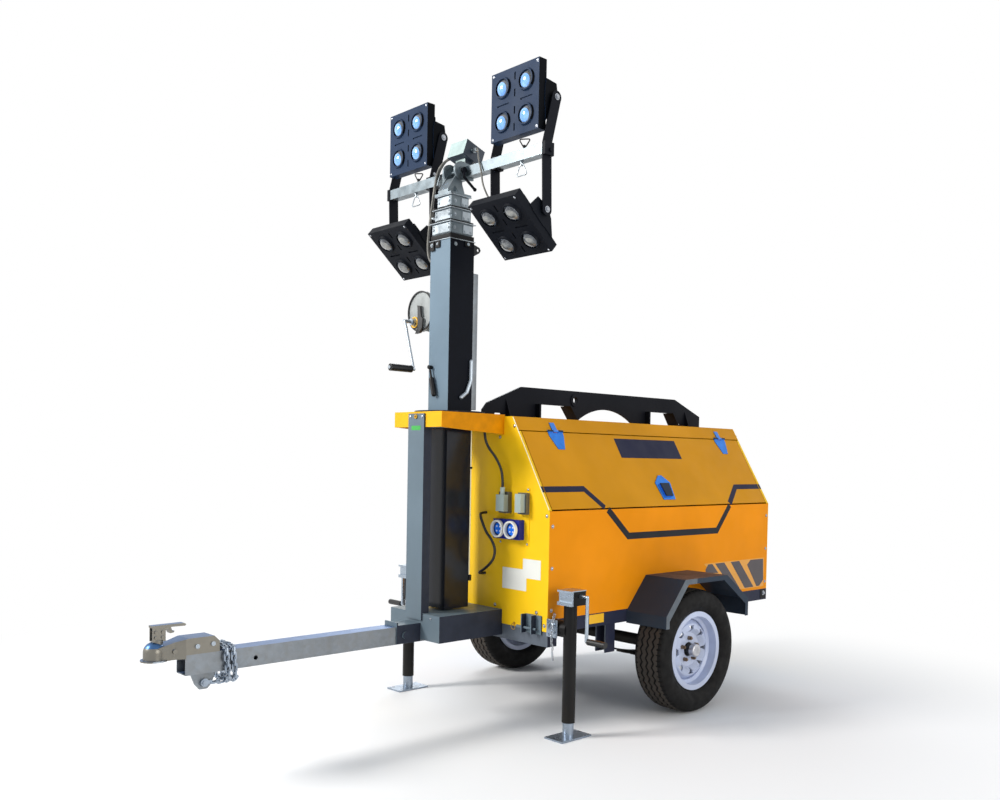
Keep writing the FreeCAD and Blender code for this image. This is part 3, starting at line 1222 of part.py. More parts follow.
def lamp_at(pivot, angle):
    px, pz = pivot
    face_x = px + lamp_pivot_setback
    back_x = face_x - lamp_plate_depth
    body = block(back_x, face_x, lamp_low_y, lamp_high_y, pz - lamp_half, pz + lamp_half)
    housing = [body]
    for index in range(fin_count):
        y = lamp_y + (index - (fin_count - 1) / 2) * fin_pitch
        housing.append(slab_y([(back_x, pz - 128), (back_x, pz + 128), (back_x - fin_depth, pz + 104),
                               (back_x - fin_depth, pz - 104)], y - fin_thickness / 2, y + fin_thickness / 2))
    housing.append(block(back_x - fin_depth - 16, back_x, lamp_y - 52, lamp_y + 52, pz - 62, pz + 62))
    for y0, y1 in ((lamp_low_y - 4, lamp_low_y), (lamp_high_y, lamp_high_y + 4)):
        bracket_plate = slab_y([(back_x + 6, pz + bracket_top), (back_x + 6, pz - bracket_drop),
                                (px - 4, pz - bracket_half), (px - 20, pz - 20), (px - 20, pz + 20),
                                (px - 12, pz + bracket_top - 8)], y0, y1)
        housing.append(bracket_plate)
    housing.append(rod(vec(px, inner_arm_y, pz), vec(px, lamp_low_y - 4, pz), 16))
    housing.append(rod(vec(px, lamp_high_y + 4, pz), vec(px, outer_arm_y, pz), 16))
    for y0, y1 in ((lamp_low_y - 4, lamp_low_y + 6), (lamp_high_y - 6, lamp_high_y + 4)):
        housing.append(block(back_x + 2, back_x + 10, y0, y1, pz - bracket_half + 4, pz + bracket_half - 4))
    lamp = joined(*housing)
    lenses = []
    for dy in (-lens_spacing, lens_spacing):
        for dz in (-lens_spacing, lens_spacing):
            y = lamp_y + dy
            z = pz + dz
            bezel = Part.makeCone(bezel_radius, bezel_radius - 4, bezel_height, vec(face_x, y, z), vec(1, 0, 0))
            lamp = joined(lamp, bezel)
            lamp = lamp.cut(rod(vec(face_x - 4, y, z), vec(face_x + bezel_height, y, z), lens_radius + running_gap))
            dome_centre = vec(face_x + lens_height - lens_dome_radius, y, z)
            dome = Part.makeSphere(lens_dome_radius, dome_centre)
            lenses.append(dome.common(rod(vec(face_x - 4, y, z), vec(face_x + lens_height + 1, y, z), lens_radius)))
    for dy in (-lens_spacing, lens_spacing):
        y = lamp_y + dy
        lamp = lamp.cut(block(face_x - 5, face_x + 1, y - 38, y + 38, pz - 4, pz + 4))
    for dz in (-112, -38, 38, 112):
        lamp = lamp.cut(block(face_x - 5, face_x + 1, lamp_y - 4, lamp_y + 4, pz + dz - 17, pz + dz + 17))
    centre = vec(px, 0, pz)
    lamp = turned(lamp, centre, vec(0, 1, 0), angle)
    lenses = [turned(lens, centre, vec(0, 1, 0), angle) for lens in lenses]
    return lamp, lenses


for row, pivot, angle in (("upper", lamp_upper_pivot, 0), ("lower", lamp_lower_pivot, lamp_lower_angle)):
    lamp, lenses = lamp_at(pivot, angle)
    keep_pair("lamp_" + row, lamp)
    keep_pair("lenses_" + row, *lenses)

# Winch on the far side of the mast: plates, drum, geared cover, guard and crank
winch_z = collar_top_z + winch_above_collar
cover_x = mast_x + 34
winch_side = -mast_half
plate_outline = [(winch_side, winch_z - 105), (winch_side, winch_z + 60), (winch_side - 40, winch_z + 66),
                 (winch_cover_y - 40, winch_z + 40), (winch_cover_y - 60, winch_z - 10), (winch_cover_y - 50, winch_z - 80),
                 (winch_side - 30, winch_z - 105)]
winch = joined(
    block(mast_x - 44, mast_x + 50, winch_side - 6, winch_side, winch_z - 112, winch_z + 74),
    slab_x(plate_outline, mast_x - 44, mast_x - 38),
    slab_x(plate_outline, cover_x - 6, cover_x),
    rod(vec(mast_x - 38, winch_cover_y + 26, winch_z - 10), vec(cover_x, winch_cover_y + 26, winch_z - 10),
        winch_drum_radius),
    rod(vec(cover_x, winch_cover_y, winch_z), vec(cover_x + 14, winch_cover_y, winch_z), winch_cover_radius),
    slab_x([(-181, winch_z + 28), (-160, winch_z + 24), (-152, winch_z - 27), (-139, winch_z - 38),
            (-142, winch_z - 81), (-166, winch_z - 104), (-196, winch_z - 107), (-178, winch_z - 78),
            (-178, winch_z + 2)], cover_x + 14, cover_x + 30),
)
cover_rim = rod(vec(cover_x + 14, winch_cover_y, winch_z), vec(cover_x + 20, winch_cover_y, winch_z), winch_cover_radius)
cover_rim = cover_rim.cut(rod(vec(cover_x + 14, winch_cover_y, winch_z), vec(cover_x + 20, winch_cover_y, winch_z),
                              winch_cover_radius - 6))
cover_rim = cover_rim.cut(block(cover_x, cover_x + 30, winch_side, 0, winch_z - 120, winch_z + 120))
winch = joined(winch, cover_rim)
winch = winch.cut(block(mast_x - 80, mast_x + 90, winch_side, 0, winch_z - 130, winch_z + 130))
crank_start = vec(cover_x + 20 + running_gap, winch_crank_y, winch_z - winch_crank_drop)
crank_x = cover_x + 79
crank_top = vec(crank_x, winch_crank_y, winch_z - winch_crank_drop)
crank_low = vec(crank_x, winch_crank_y + winch_crank_shift, winch_z - winch_crank_drop - winch_crank_reach)
grip_end = crank_low + vec(winch_grip_length, 0, 0)
winch_crank = joined(
    rod(crank_start, crank_start + vec(24, 0, 0), 16),
    rod(crank_start, crank_top + vec(6, 0, 0), 9),
    rod(crank_top, crank_low, 7),
    Part.makeSphere(9, crank_low),
    rod(crank_low, grip_end, 8),
    rod(crank_low + vec(14, 0, 0), grip_end - vec(6, 0, 0), winch_grip_radius),
)
winch = winch.cut(rod(crank_start - vec(7, 0, 0), crank_start + vec(60, 0, 0), 22))
winch_hub = rod(crank_start - vec(7, 0, 0), crank_start - vec(running_gap, 0, 0), 20)
winch = joined(winch, winch_hub)
keep("winch", winch)
keep("winch_crank", winch_crank)

# Socket panel on the front sheet with two round sockets and two plug housings
panel_x = front_sheet_x + panel_thickness
panel = block(front_sheet_x, panel_x, panel_y_low, panel_y_high, panel_z_low, panel_z_high)
keep("socket_panel", panel)
socket_z = panel_z_low + socket_height
sockets = []
for y in socket_columns:
    box = block(panel_x, panel_x + socket_box_depth, y - socket_half, y + socket_half, socket_z - 46, socket_z + 46)
    ring_x = panel_x + socket_box_depth
    collar_ring = rod(vec(ring_x, y, socket_z), vec(ring_x + socket_ring_depth, y, socket_z), socket_ring_radius)
    cup = rod(vec(ring_x - 12, y, socket_z), vec(ring_x + socket_ring_depth, y, socket_z), socket_ring_radius - 8)
    insert = rod(vec(ring_x - 12, y, socket_z), vec(ring_x + 6, y, socket_z), socket_ring_radius - 14)
    hood_lip = block(ring_x, ring_x + 6, y - 10, y + 10, socket_z + socket_ring_radius - 4, socket_z + 45)
    sockets.append(joined(joined(box, collar_ring).cut(cup), insert, hood_lip))
keep("power_sockets", *sockets)
# Each plug housing: base y0, y1, hood y0, y1, base z0, z1, hood z0, z1
plug_rows = (
    (174.0, 240.0, 184.0, 238.0, 149.0, 249.0, 158.0, 236.0),
    (305.0, 361.0, 314.0, 352.0, 149.0, 249.0, 158.0, 244.0),
)
plugs = []
for base_y0, base_y1, hood_y0, hood_y1, base_z0, base_z1, hood_z0, hood_z1 in plug_rows:
    plug = joined(
        block(panel_x, panel_x + 22, base_y0, base_y1, panel_z_low + base_z0, panel_z_low + base_z1),
        block(panel_x + 22, panel_x + 50, hood_y0, hood_y1, panel_z_low + hood_z0, panel_z_low + hood_z1),
    )
    plugs.append(plug)
boss_top_z = panel_z_low + 271
cable_x = panel_x + 36
cable_y = 214.0
plugs[0] = joined(plugs[0], rod(vec(cable_x, cable_y, panel_z_low + 230), vec(cable_x, cable_y, boss_top_z), 11))
keep("plug_housings", *plugs)

# Folded bracket with a ring pin on the frame's front, left of the base box
pin_bracket_top_z = body_drop_z + pin_bracket_height
pin_bracket_x = front_sheet_x + pin_bracket_depth
pin_bracket_high_y = body_half_width - pin_bracket_edge
pin_bracket_low_y = pin_bracket_high_y - pin_bracket_width
pin_ear_y = pin_bracket_low_y + pin_ear_gap
pin_x = front_sheet_x + 0.57 * pin_bracket_depth
pin_z = body_drop_z + 0.28 * pin_bracket_height
front_bracket = joined(
    block(front_sheet_x, front_sheet_x + pin_bracket_wall, pin_bracket_low_y, pin_bracket_high_y,
          body_drop_z, pin_bracket_top_z),
    block(front_sheet_x, pin_bracket_x, pin_bracket_low_y, pin_bracket_low_y + pin_bracket_wall,
          body_drop_z, pin_bracket_top_z),
    block(front_sheet_x, pin_bracket_x, pin_ear_y, pin_ear_y + pin_bracket_wall, body_drop_z, pin_bracket_top_z),
    rod(vec(pin_x, pin_bracket_low_y - 0.4 * pin_bracket_width, pin_z),
        vec(pin_x, pin_bracket_high_y - 0.17 * pin_bracket_width, pin_z), pin_radius),
)
shapes["base_box"].append(front_bracket)


# Cables: straight runs joined by tangent arcs
def cable(name, points, radius):
    start = points[0]
    edges = []
    bends = []
    for before, corner, after in zip(points, points[1:], points[2:]):
        back = before - corner
        ahead = after - corner
        trim = 0.45 * min(back.Length, ahead.Length)
        back.normalize()
        ahead.normalize()
        turn = pi - acos(max(-1, min(1, back.dot(ahead))))
        bend = trim / tan(turn / 2)
        middle = (back + ahead).normalize()
        centre = corner + middle * sqrt(trim ** 2 + bend ** 2)
        edges.append(Part.makeLine(start, corner + back * trim))
        edges.append(Part.Arc(corner + back * trim, centre - middle * bend, corner + ahead * trim).toShape())
        start = corner + ahead * trim
        bends.append((round(bend), round(degrees(turn))))
    edges.append(Part.makeLine(start, points[-1]))
    path = Part.Wire(edges)
    ring_profile = Part.Wire(Part.makeCircle(radius, points[0], points[1] - points[0]))
    tube = path.makePipeShell([ring_profile], True, True)
    print(name, "length", round(path.Length), "volume share", round(tube.Volume / (pi * radius ** 2 * path.Length), 3),
          "bends", bends)
    keep(name, tube)
    return path.Length


feed_length = cable("feed_cable_upper", [
    vec(cable_x, cable_y, boss_top_z), vec(cable_x, cable_y, boss_top_z + 42), vec(cable_x + 2, cable_y - 12, boss_top_z + 92),
    vec(cable_x + 12, cable_y - 40, boss_top_z + 142), vec(cable_x + 26, cable_y - 78, boss_top_z + 186),
    vec(cable_x + 36, cable_y - 96, boss_top_z + 240), vec(cable_x + 36, cable_y - 96, collar_top_z - collar_wall),
], cable_radius)
loop_x = front_sheet_x
loop_length = cable("feed_cable_lower", [
    vec(loop_x, 60, 986), vec(loop_x + 38, 60, 986), vec(loop_x + 66, 90, 972), vec(loop_x + 70, 112, 940),
    vec(loop_x + 70, 140, 896), vec(loop_x + 70, 178, 866), vec(loop_x + 68, 202, 826), vec(loop_x + 68, 196, 780),
    vec(loop_x + 68, 160, 744), vec(loop_x + 66, 116, 716), vec(loop_x + 56, 76, 700), vec(loop_x + 34, 58, 692),
    vec(loop_x, 58, 692),
], cable_radius)
head_x = bar_x - 4
head_z = bar_z + 100
head_length = cable("head_cable", [
    vec(head_x, -71, head_z), vec(head_x, -98, head_z), vec(head_x + 20, -126, head_z - 18), vec(head_x + 44, -146, head_z - 62),
    vec(head_x + 54, -156, head_z - 150), vec(head_x + 60, -170, head_z - 260), vec(head_x + 64, -184, head_z - 366),
    vec(head_x + 66, -186, head_z - 440), vec(head_x + 66, -170, head_z - 492), vec(head_x + 66, -142, head_z - 508),
    vec(head_x + 66, -118, head_z - 486), vec(head_x + 66, -104, head_z - 434), vec(head_x + 66, -96, head_z - 360),
    vec(head_x + 66, -95, head_z - 296), vec(head_x + 65, -92, head_z - 256), vec(head_x + 64, -84, head_z - 230),
    vec(head_x + 62, -73, head_z - 215), vec(head_x + 62, -60, head_z - 215),
], cable_radius)

os.makedirs("parts", exist_ok=True)
for name, solids in shapes.items():
    shape = Part.makeCompound(solids) if len(solids) > 1 else solids[0]
    shape.translate(vec(-middle_x, 0, 0))
    shape.exportStep("parts/" + name + ".step")
    print(name, len(shape.Solids), shape.isValid())
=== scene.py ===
import bmesh
import bpy
import numpy as np
from mathutils import Matrix, Vector


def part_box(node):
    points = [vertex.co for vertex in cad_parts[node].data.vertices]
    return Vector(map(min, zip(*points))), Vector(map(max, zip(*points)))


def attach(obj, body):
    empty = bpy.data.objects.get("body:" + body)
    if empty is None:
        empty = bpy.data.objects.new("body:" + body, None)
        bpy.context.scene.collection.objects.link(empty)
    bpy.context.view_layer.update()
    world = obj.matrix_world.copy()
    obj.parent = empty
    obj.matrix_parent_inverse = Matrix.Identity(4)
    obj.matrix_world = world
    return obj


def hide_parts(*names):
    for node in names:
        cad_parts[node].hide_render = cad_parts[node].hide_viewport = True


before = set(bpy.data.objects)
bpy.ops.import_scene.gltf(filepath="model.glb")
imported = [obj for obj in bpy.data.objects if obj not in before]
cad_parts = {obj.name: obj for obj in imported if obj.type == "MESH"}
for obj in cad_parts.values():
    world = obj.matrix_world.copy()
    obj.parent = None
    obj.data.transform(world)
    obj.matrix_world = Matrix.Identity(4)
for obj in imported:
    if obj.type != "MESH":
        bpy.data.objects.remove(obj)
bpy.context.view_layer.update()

# The viewpoint: a stills camera at about chest height, ahead of the coupling and to the left of it.
# Its place, turn and lens were solved from the light tower's own straight edges.
eye = Vector((3.174, 3.5298, 1.2576))
look_azimuth = np.radians(221.0) + 0.092
look_pitch = -0.028
look_roll = 0.019
look = Vector((np.cos(look_azimuth) * np.cos(look_pitch), np.sin(look_azimuth) * np.cos(look_pitch),
               np.sin(look_pitch)))
level_right = look.cross(Vector((0, 0, 1))).normalized()
level_up = level_right.cross(look)
right = np.cos(look_roll) * level_right + np.sin(look_roll) * level_up
up = -np.sin(look_roll) * level_right + np.cos(look_roll) * level_up
turn = Matrix((right, up, -look)).transposed().to_4x4()
camera = bpy.data.objects.new("camera", bpy.data.cameras.new("camera"))
sensor = 36
focal_share = 0.9588
camera.data.lens = focal_share * sensor
camera.data.sensor_width = sensor
camera.data.shift_x = -0.021
camera.data.shift_y = 0.0838
camera.data.clip_end = 200
camera.matrix_world = Matrix.Translation(eye) @ turn
bpy.context.scene.collection.objects.link(camera)
bpy.context.scene.camera = camera
bpy.context.scene.view_settings.view_transform = "Standard"

# The studio: a pale floor, a white surround and three large soft lamps.
# The key lamp stands ahead of the light tower, so that its front sheet is the brightest.
world = bpy.data.worlds.new("studio_world")
bpy.context.scene.world = world
world.use_nodes = True
world_nodes = world.node_tree.nodes
world_links = world.node_tree.links
world_nodes.clear()
world_out = world_nodes.new("ShaderNodeOutputWorld")
soft_sky = world_nodes.new("ShaderNodeBackground")
soft_sky.inputs["Color"].default_value = (0.86, 0.92, 1.0, 1)
soft_sky.inputs["Strength"].default_value = 0.55
white_sky = world_nodes.new("ShaderNodeBackground")
white_sky.inputs["Color"].default_value = (1, 1, 1, 1)
seen_white = world_nodes.new("ShaderNodeMixShader")
ray_kind = world_nodes.new("ShaderNodeLightPath")
ray_link = ray_kind.outputs["Is Camera Ray"]
for other_kind in ("Is Transmission Ray", "Is Glossy Ray"):
    either = world_nodes.new("ShaderNodeMath")
    either.operation = "MAXIMUM"
    world_links.new(ray_link, either.inputs[0])
    world_links.new(ray_kind.outputs[other_kind], either.inputs[1])
    ray_link = either.outputs[0]
world_links.new(ray_link, seen_white.inputs["Fac"])
world_links.new(soft_sky.outputs[0], seen_white.inputs[1])
world_links.new(white_sky.outputs[0], seen_white.inputs[2])
world_links.new(seen_white.outputs[0], world_out.inputs["Surface"])


def soft_lamp(name, place, target, size, watts, colour):
    """A square area lamp at place, facing target."""
    lamp = bpy.data.lights.new(name, "AREA")
    lamp.shape = "SQUARE"
    lamp.size = size
    lamp.energy = watts
    lamp.color = colour
    holder = bpy.data.objects.new(name, lamp)
    aim = (Vector(target) - Vector(place)).to_track_quat("-Z", "Y")
    holder.matrix_world = Matrix.Translation(place) @ aim.to_matrix().to_4x4()
    bpy.context.scene.collection.objects.link(holder)


soft_lamp("key_lamp", (6.5, -3.2, 5.0), (0.2, 0, 1.1), 2.2, 640, (1.0, 0.98, 0.95))
soft_lamp("side_lamp", (-0.5, 7.5, 2.2), (0, 0, 0.8), 4.0, 200, (1.0, 0.97, 0.92))
soft_lamp("back_lamp", (-5.0, -5.0, 5.0), (0, 0, 1.0), 4.0, 220, (0.92, 0.96, 1.0))

# The three free cables: the feed from a plug housing up to the collar, the slack loop in front of the sheet,
# and the one that hangs from the junction box in a loop and goes back up to the mast head.
# They are round rubber cable, 13 mm thick, and both ends of each are tied to the machine.


def shade_of(red, green, blue):
    """A colour as it is written for a screen, turned to the linear values that a shader takes."""
    c = np.array([red, green, blue])
    linear = np.where(c <= 0.04045, c / 12.92, ((c + 0.055) / 1.055) ** 2.4)
    return (float(linear[0]), float(linear[1]), float(linear[2]), 1.0)


def new_finish(name):
    """An empty node material: the material, its links, its shader and the object's own coordinates."""
    finish = bpy.data.materials.new(name)
    finish.use_nodes = True
    tree = finish.node_tree
    tree.nodes.clear()
    out = tree.nodes.new("ShaderNodeOutputMaterial")
    shader = tree.nodes.new("ShaderNodeBsdfPrincipled")
    place = tree.nodes.new("ShaderNodeTexCoord")
    tree.links.new(shader.outputs[0], out.inputs["Surface"])
    return finish, tree.links, shader, place.outputs["Object"]


def spread_out(value, start, end, low, high):
    """The value's range from start to end, brought to the range low to high and held there."""
    tree = value.id_data
    spread = tree.nodes.new("ShaderNodeMapRange")
    for socket_name, number in (("From Min", start), ("From Max", end), ("To Min", low), ("To Max", high)):
        spread.inputs[socket_name].default_value = number
    tree.links.new(value, spread.inputs["Value"])
    return spread.outputs["Result"]


def cloudy(place, scale, low, high, detail=3.0):
    """Noise of that scale, brought to the range low to high."""
    tree = place.id_data
    noise = tree.nodes.new("ShaderNodeTexNoise")
    noise.inputs["Scale"].default_value = scale
    noise.inputs["Detail"].default_value = detail
    tree.links.new(place, noise.inputs["Vector"])
    return spread_out(noise.outputs["Fac"], 0.3, 0.7, low, high)


def blend_colours(share, first, second):
    """A mix of two colours, each a colour or a link, by share."""
    tree = share.id_data
    mix = tree.nodes.new("ShaderNodeMix")
    mix.data_type = "RGBA"
    tree.links.new(share, mix.inputs["Factor"])
    for socket, value in ((mix.inputs["A"], first), (mix.inputs["B"], second)):
        if isinstance(value, tuple):
            socket.default_value = value
        else:
            tree.links.new(value, socket)
    return mix.outputs["Result"]


def bumped(shader, place, scale, strength):
    """A fine grain in the surface's normal, 1 mm deep at full strength."""
    tree = place.id_data
    noise = tree.nodes.new("ShaderNodeTexNoise")
    noise.inputs["Scale"].default_value = scale
    noise.inputs["Detail"].default_value = 2.0
    tree.links.new(place, noise.inputs["Vector"])
    bump = tree.nodes.new("ShaderNodeBump")
    bump.inputs["Strength"].default_value = strength
    bump.inputs["Distance"].default_value = 0.001
    tree.links.new(noise.outputs["Fac"], bump.inputs["Height"])
    tree.links.new(bump.outputs["Normal"], shader.inputs["Normal"])


def cable_finish(name, light, dark, roughness):
    """Dull rubber between two close shades, with a fine grain."""
    finish, links, shader, place = new_finish(name)
    tone = blend_colours(cloudy(place, 40.0, 0.0, 1.0), shade_of(*light), shade_of(*dark))
    links.new(tone, shader.inputs["Base Color"])
    shader.inputs["Roughness"].default_value = roughness
    bumped(shader, place, 300.0, 0.08)
    return finish


def hung_cable(name, route, body, finish, replaced):
    """A NURBS spline through the cable's own route, in mm from the axle, with a round section."""
    curve = bpy.data.curves.new(name, "CURVE")
    curve.dimensions = "3D"
    curve.bevel_depth = cable_thickness / 2
    curve.bevel_resolution = 4
    curve.resolution_u = 12
    curve.use_fill_caps = True
    spline = curve.splines.new("NURBS")
    spline.points.add(len(route) - 1)
    for point, (x, y, z) in zip(spline.points, route):
        point.co = (x / 1000 - mid, y / 1000, z / 1000, 1)
    spline.order_u = 3
    spline.use_endpoint_u = True
    cable = bpy.data.objects.new(name, curve)
    curve.materials.append(finish)
    bpy.context.scene.collection.objects.link(cable)
    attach(cable, body)
    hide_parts(replaced)
    x, y, z = route[0]


rubber = cable_finish("cable_rubber", (0.05, 0.05, 0.055), (0.11, 0.11, 0.12), 0.55)
pale_rubber = cable_finish("pale_cable_rubber", (0.30, 0.30, 0.29), (0.50, 0.49, 0.46), 0.5)
mid = 0.7635
cable_thickness = 0.013
feed_x = 885.0
feed_y = 214.0
feed_z = 1114.0
feed_route = [(feed_x, feed_y, feed_z), (feed_x, feed_y, feed_z + 42), (feed_x + 2, feed_y - 12, feed_z + 92),
              (feed_x + 12, feed_y - 40, feed_z + 142), (feed_x + 26, feed_y - 78, feed_z + 186),
              (feed_x + 36, feed_y - 96, feed_z + 240), (feed_x + 36, feed_y - 96, 1449)]
hung_cable("feed_cable", feed_route, "chassis", rubber, "feed_cable_upper")
loop_x = 846.0
loop_route = [(loop_x, 60, 986), (loop_x + 38, 60, 986), (loop_x + 66, 90, 972), (loop_x + 70, 112, 940),
              (loop_x + 70, 140, 896), (loop_x + 70, 178, 866), (loop_x + 68, 202, 826),
              (loop_x + 68, 196, 780),
              (loop_x + 68, 160, 744), (loop_x + 66, 116, 716), (loop_x + 56, 76, 700),
              (loop_x + 34, 58, 692),
              (loop_x, 58, 692)]
hung_cable("loop_cable", loop_route, "chassis", rubber, "feed_cable_lower")
head_x = 974.0
head_z = 2693.0
drop_steps = [(0, -71, 0), (0, -98, 0), (20, -126, -18), (44, -146, -62), (54, -156, -150), (60, -170, -260),
              (64, -184, -366), (66, -186, -440), (66, -170, -492), (66, -142, -508), (66, -118, -486),
              (66, -104, -434), (66, -96, -360), (66, -95, -296), (65, -92, -256), (64, -84, -230),
              (62, -73, -215), (62, -60, -215)]
drop_route = [(head_x + x, y, head_z + z) for x, y, z in drop_steps]
hung_cable("drop_cable", drop_route, "crossbar", pale_rubber, "head_cable")

# Wheels: 14 inch road tyres on pressed white rims with eight slots, each on a black hub with a zinc cap
# and bolted on by nuts. The tyre is moulded rubber, dull on the tread and smoother on the wall, with three
# zigzag grooves and short slits at its shoulders.


def worked(operation, first, second=None):
    """One sum on a link, and on a second link or a number."""
    tree = first.id_data
    sum_node = tree.nodes.new("ShaderNodeMath")
    sum_node.operation = operation
    for socket, value in zip(sum_node.inputs, (first, second)):
        if hasattr(value, "is_linked"):
            tree.links.new(value, socket)
        elif value is not None:
            socket.default_value = value
    return sum_node.outputs[0]


def times(first, second):
    """The product of a link and a second link or a number."""
    return worked("MULTIPLY", first, second)


def distance_of(first, second):
    """The distance from the origin of a flat point, from its two coordinates."""
    return worked("SQRT", worked("ADD", times(first, first), times(second, second)))


def chosen(value, limit, above=True):
    """1 where the value is above (or below) the limit, 0 elsewhere."""
    return worked("GREATER_THAN" if above else "LESS_THAN", value, limit)


def axes(place):
    """The three parts of a coordinate."""
    tree = place.id_data
    parts = tree.nodes.new("ShaderNodeSeparateXYZ")
    tree.links.new(place, parts.inputs[0])
    return parts.outputs[0], parts.outputs[1], parts.outputs[2]


def link_of(finish, kind):
    """The Object coordinates of that finish, or its Normal."""
    return next(node for node in finish.node_tree.nodes if node.type == "TEX_COORD").outputs[kind]


def second_colour(finish, share, colour, roughness=None, metal=None, gloss=None):
    """Where share is 1 the finish takes another colour, roughness, metal and gloss."""
    tree = finish.node_tree
    shader = next(node for node in tree.nodes if node.type == "BSDF_PRINCIPLED")
    base = shader.inputs["Base Color"]
    before = base.links[0].from_socket
    light = shade_of(*colour)
    dark = tuple(v * 0.8 for v in light[:3]) + (1.0,)
    other = blend_colours(cloudy(link_of(finish, "Object"), 24.0, 0.0, 1.0), light, dark)
    tree.links.new(blend_colours(share, before, other), base)
    for socket_name, value in (("Roughness", roughness), ("Metallic", metal), ("Specular IOR Level", gloss)):
        if value is None:
            continue
        socket = shader.inputs[socket_name]
        mix = tree.nodes.new("ShaderNodeMix")
        tree.links.new(share, mix.inputs["Factor"])
        if socket.is_linked:
            tree.links.new(socket.links[0].from_socket, mix.inputs["A"])
        else:
            mix.inputs["A"].default_value = socket.default_value
        mix.inputs["B"].default_value = value
        tree.links.new(mix.outputs["Result"], socket)


def paint(name, colour, roughness, coat=0.3, dust=0.25, dust_low=0.35, dust_high=0.9, grain=0.04, gloss=0.5):
    """Sprayed or powder-coated steel: a slightly cloudy colour, orange peel, and road dust low down."""
    finish, links, shader, place = new_finish(name)
    base = shade_of(*colour)
    lighter = tuple(min(1.0, v * 1.10 + 0.004) for v in base[:3]) + (1.0,)
    darker = tuple(v * 0.90 for v in base[:3]) + (1.0,)
    coloured = blend_colours(cloudy(place, 2.6, 0.0, 1.0), darker, lighter)
    low_down = spread_out(axes(place)[2], dust_low, dust_high, 1.0, 0.0)
    patchy = times(low_down, cloudy(place, 9.0, 0.0, dust, 6.0))
    links.new(blend_colours(patchy, coloured, shade_of(0.55, 0.50, 0.43)), shader.inputs["Base Color"])
    links.new(cloudy(place, 14.0, roughness - 0.05, roughness + 0.09, 5.0), shader.inputs["Roughness"])
    shader.inputs["Coat Weight"].default_value = coat
    shader.inputs["Coat Roughness"].default_value = 0.12
    shader.inputs["Specular IOR Level"].default_value = gloss
    bumped(shader, place, 420.0, grain)
    return finish


def dress(finish, *names):
    """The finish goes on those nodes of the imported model."""
    for name in names:
        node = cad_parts[name]
        if not node.data.materials:
            node.data.materials.append(finish)
        for material_slot in node.material_slots:
            material_slot.material = finish


def shell_of(rings, closed=False):
    """Rings of points as one closed shell: its points and faces. Each ring is joined to the next one, and
    the last ring to the first one, or both are capped."""
    rows, around = rings.shape[:2]
    index = np.arange(rows * around).reshape(rows, around)
    caps = [] if closed else [index[0, ::-1].tolist(), index[-1].tolist()]
    if closed:
        index = np.concatenate([index, index[:1]])
    beside = np.roll(index, -1, axis=1)
    faces = np.stack([index[:-1], beside[:-1], beside[1:], index[1:]], axis=-1)
    return rings.reshape(-1, 3), faces.reshape(-1, 4).tolist() + caps


def groove_depth(angle, side, radius):
    """Three zigzag grooves in the tread and short slits at its shoulders."""
    tread = (radius > 0.299) & (np.abs(side) < 0.076)
    wave = 0.0058 * (2 / np.pi) * np.arcsin(np.sin(angle * 46))
    cut = np.zeros_like(side)
    for line in (-0.034, 0.0, 0.034):
        near = np.abs(side - line - wave)
        cut = np.maximum(cut, np.clip((0.0056 - near) / 0.0016, 0, 1))
    slit = (np.abs(side) > 0.056) & (np.abs((angle * 72 / (2 * np.pi)) % 1 - 0.5) < 0.09)
    cut = np.maximum(cut, slit * 0.7)
    return np.where(tread, cut * 0.0068, 0)


def closed_ring(name, loop, centre_y):
    """A loop of (side, radius) points swept round the wheel's axis, lower where a groove is."""
    angle = np.linspace(0, 2 * np.pi, tyre_steps, endpoint=False)[:, None]
    side = loop[None, :, 0] + 0 * angle
    radius = loop[None, :, 1] - groove_depth(angle, side, loop[None, :, 1] + 0 * angle)
    rings = np.stack([radius * np.cos(angle) - mid, centre_y + side, tyre_radius + radius * np.sin(angle)],
                     axis=-1)
    points, faces = shell_of(rings, True)
    mesh = bpy.data.meshes.new(name)
    mesh.from_pydata(points, [], faces)
    mesh.validate()
    return mesh


def placed(mesh, finish, body):
    """The mesh in its finish, as a piece that rides on that body."""
    mesh.materials.append(finish)
    piece = bpy.data.objects.new(mesh.name, mesh)
    bpy.context.scene.collection.objects.link(piece)
    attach(piece, body)
    return piece


def smooth_half(points, steps):
    """The same half profile with steps points, closer together towards its end, its corners rounded."""
    length = np.concatenate([[0], np.cumsum(np.hypot(*np.diff(points, axis=0).T))])
    share = np.linspace(0, 1, steps)
    along = length[-1] * (1.25 - 0.25 * share) * share
    dense = np.stack([np.interp(along, length, points[:, 0]), np.interp(along, length, points[:, 1])], axis=1)
    for _ in range(3):
        dense[1:-1] = dense[1:-1] * 0.5 + (dense[:-2] + dense[2:]) * 0.25
    return dense


tyre_radius = 0.3073
wheel_y = 0.632
tyre_steps = 552
tyre_finish, links, shader, place = new_finish("tyre_rubber")
rubber_tone = blend_colours(cloudy(place, 6.0, 0.0, 1.0), shade_of(0.03, 0.03, 0.035),
                            shade_of(0.06, 0.06, 0.065))
low_dust = times(cloudy(place, 18.0, 0.0, 0.35, 6.0), 0.15)
shader.inputs["Specular IOR Level"].default_value = 0.2
links.new(blend_colours(low_dust, rubber_tone, shade_of(0.34, 0.32, 0.29)), shader.inputs["Base Color"])
links.new(cloudy(place, 30.0, 0.62, 0.85), shader.inputs["Roughness"])
bumped(shader, place, 240.0, 0.15)
x, y, z = axes(place)
from_hub = distance_of(worked("ADD", x, mid), worked("SUBTRACT", z, tyre_radius))
tread_edge = 0.3040
second_colour(tyre_finish, chosen(from_hub, tread_edge), (0.27, 0.25, 0.23), 0.75)
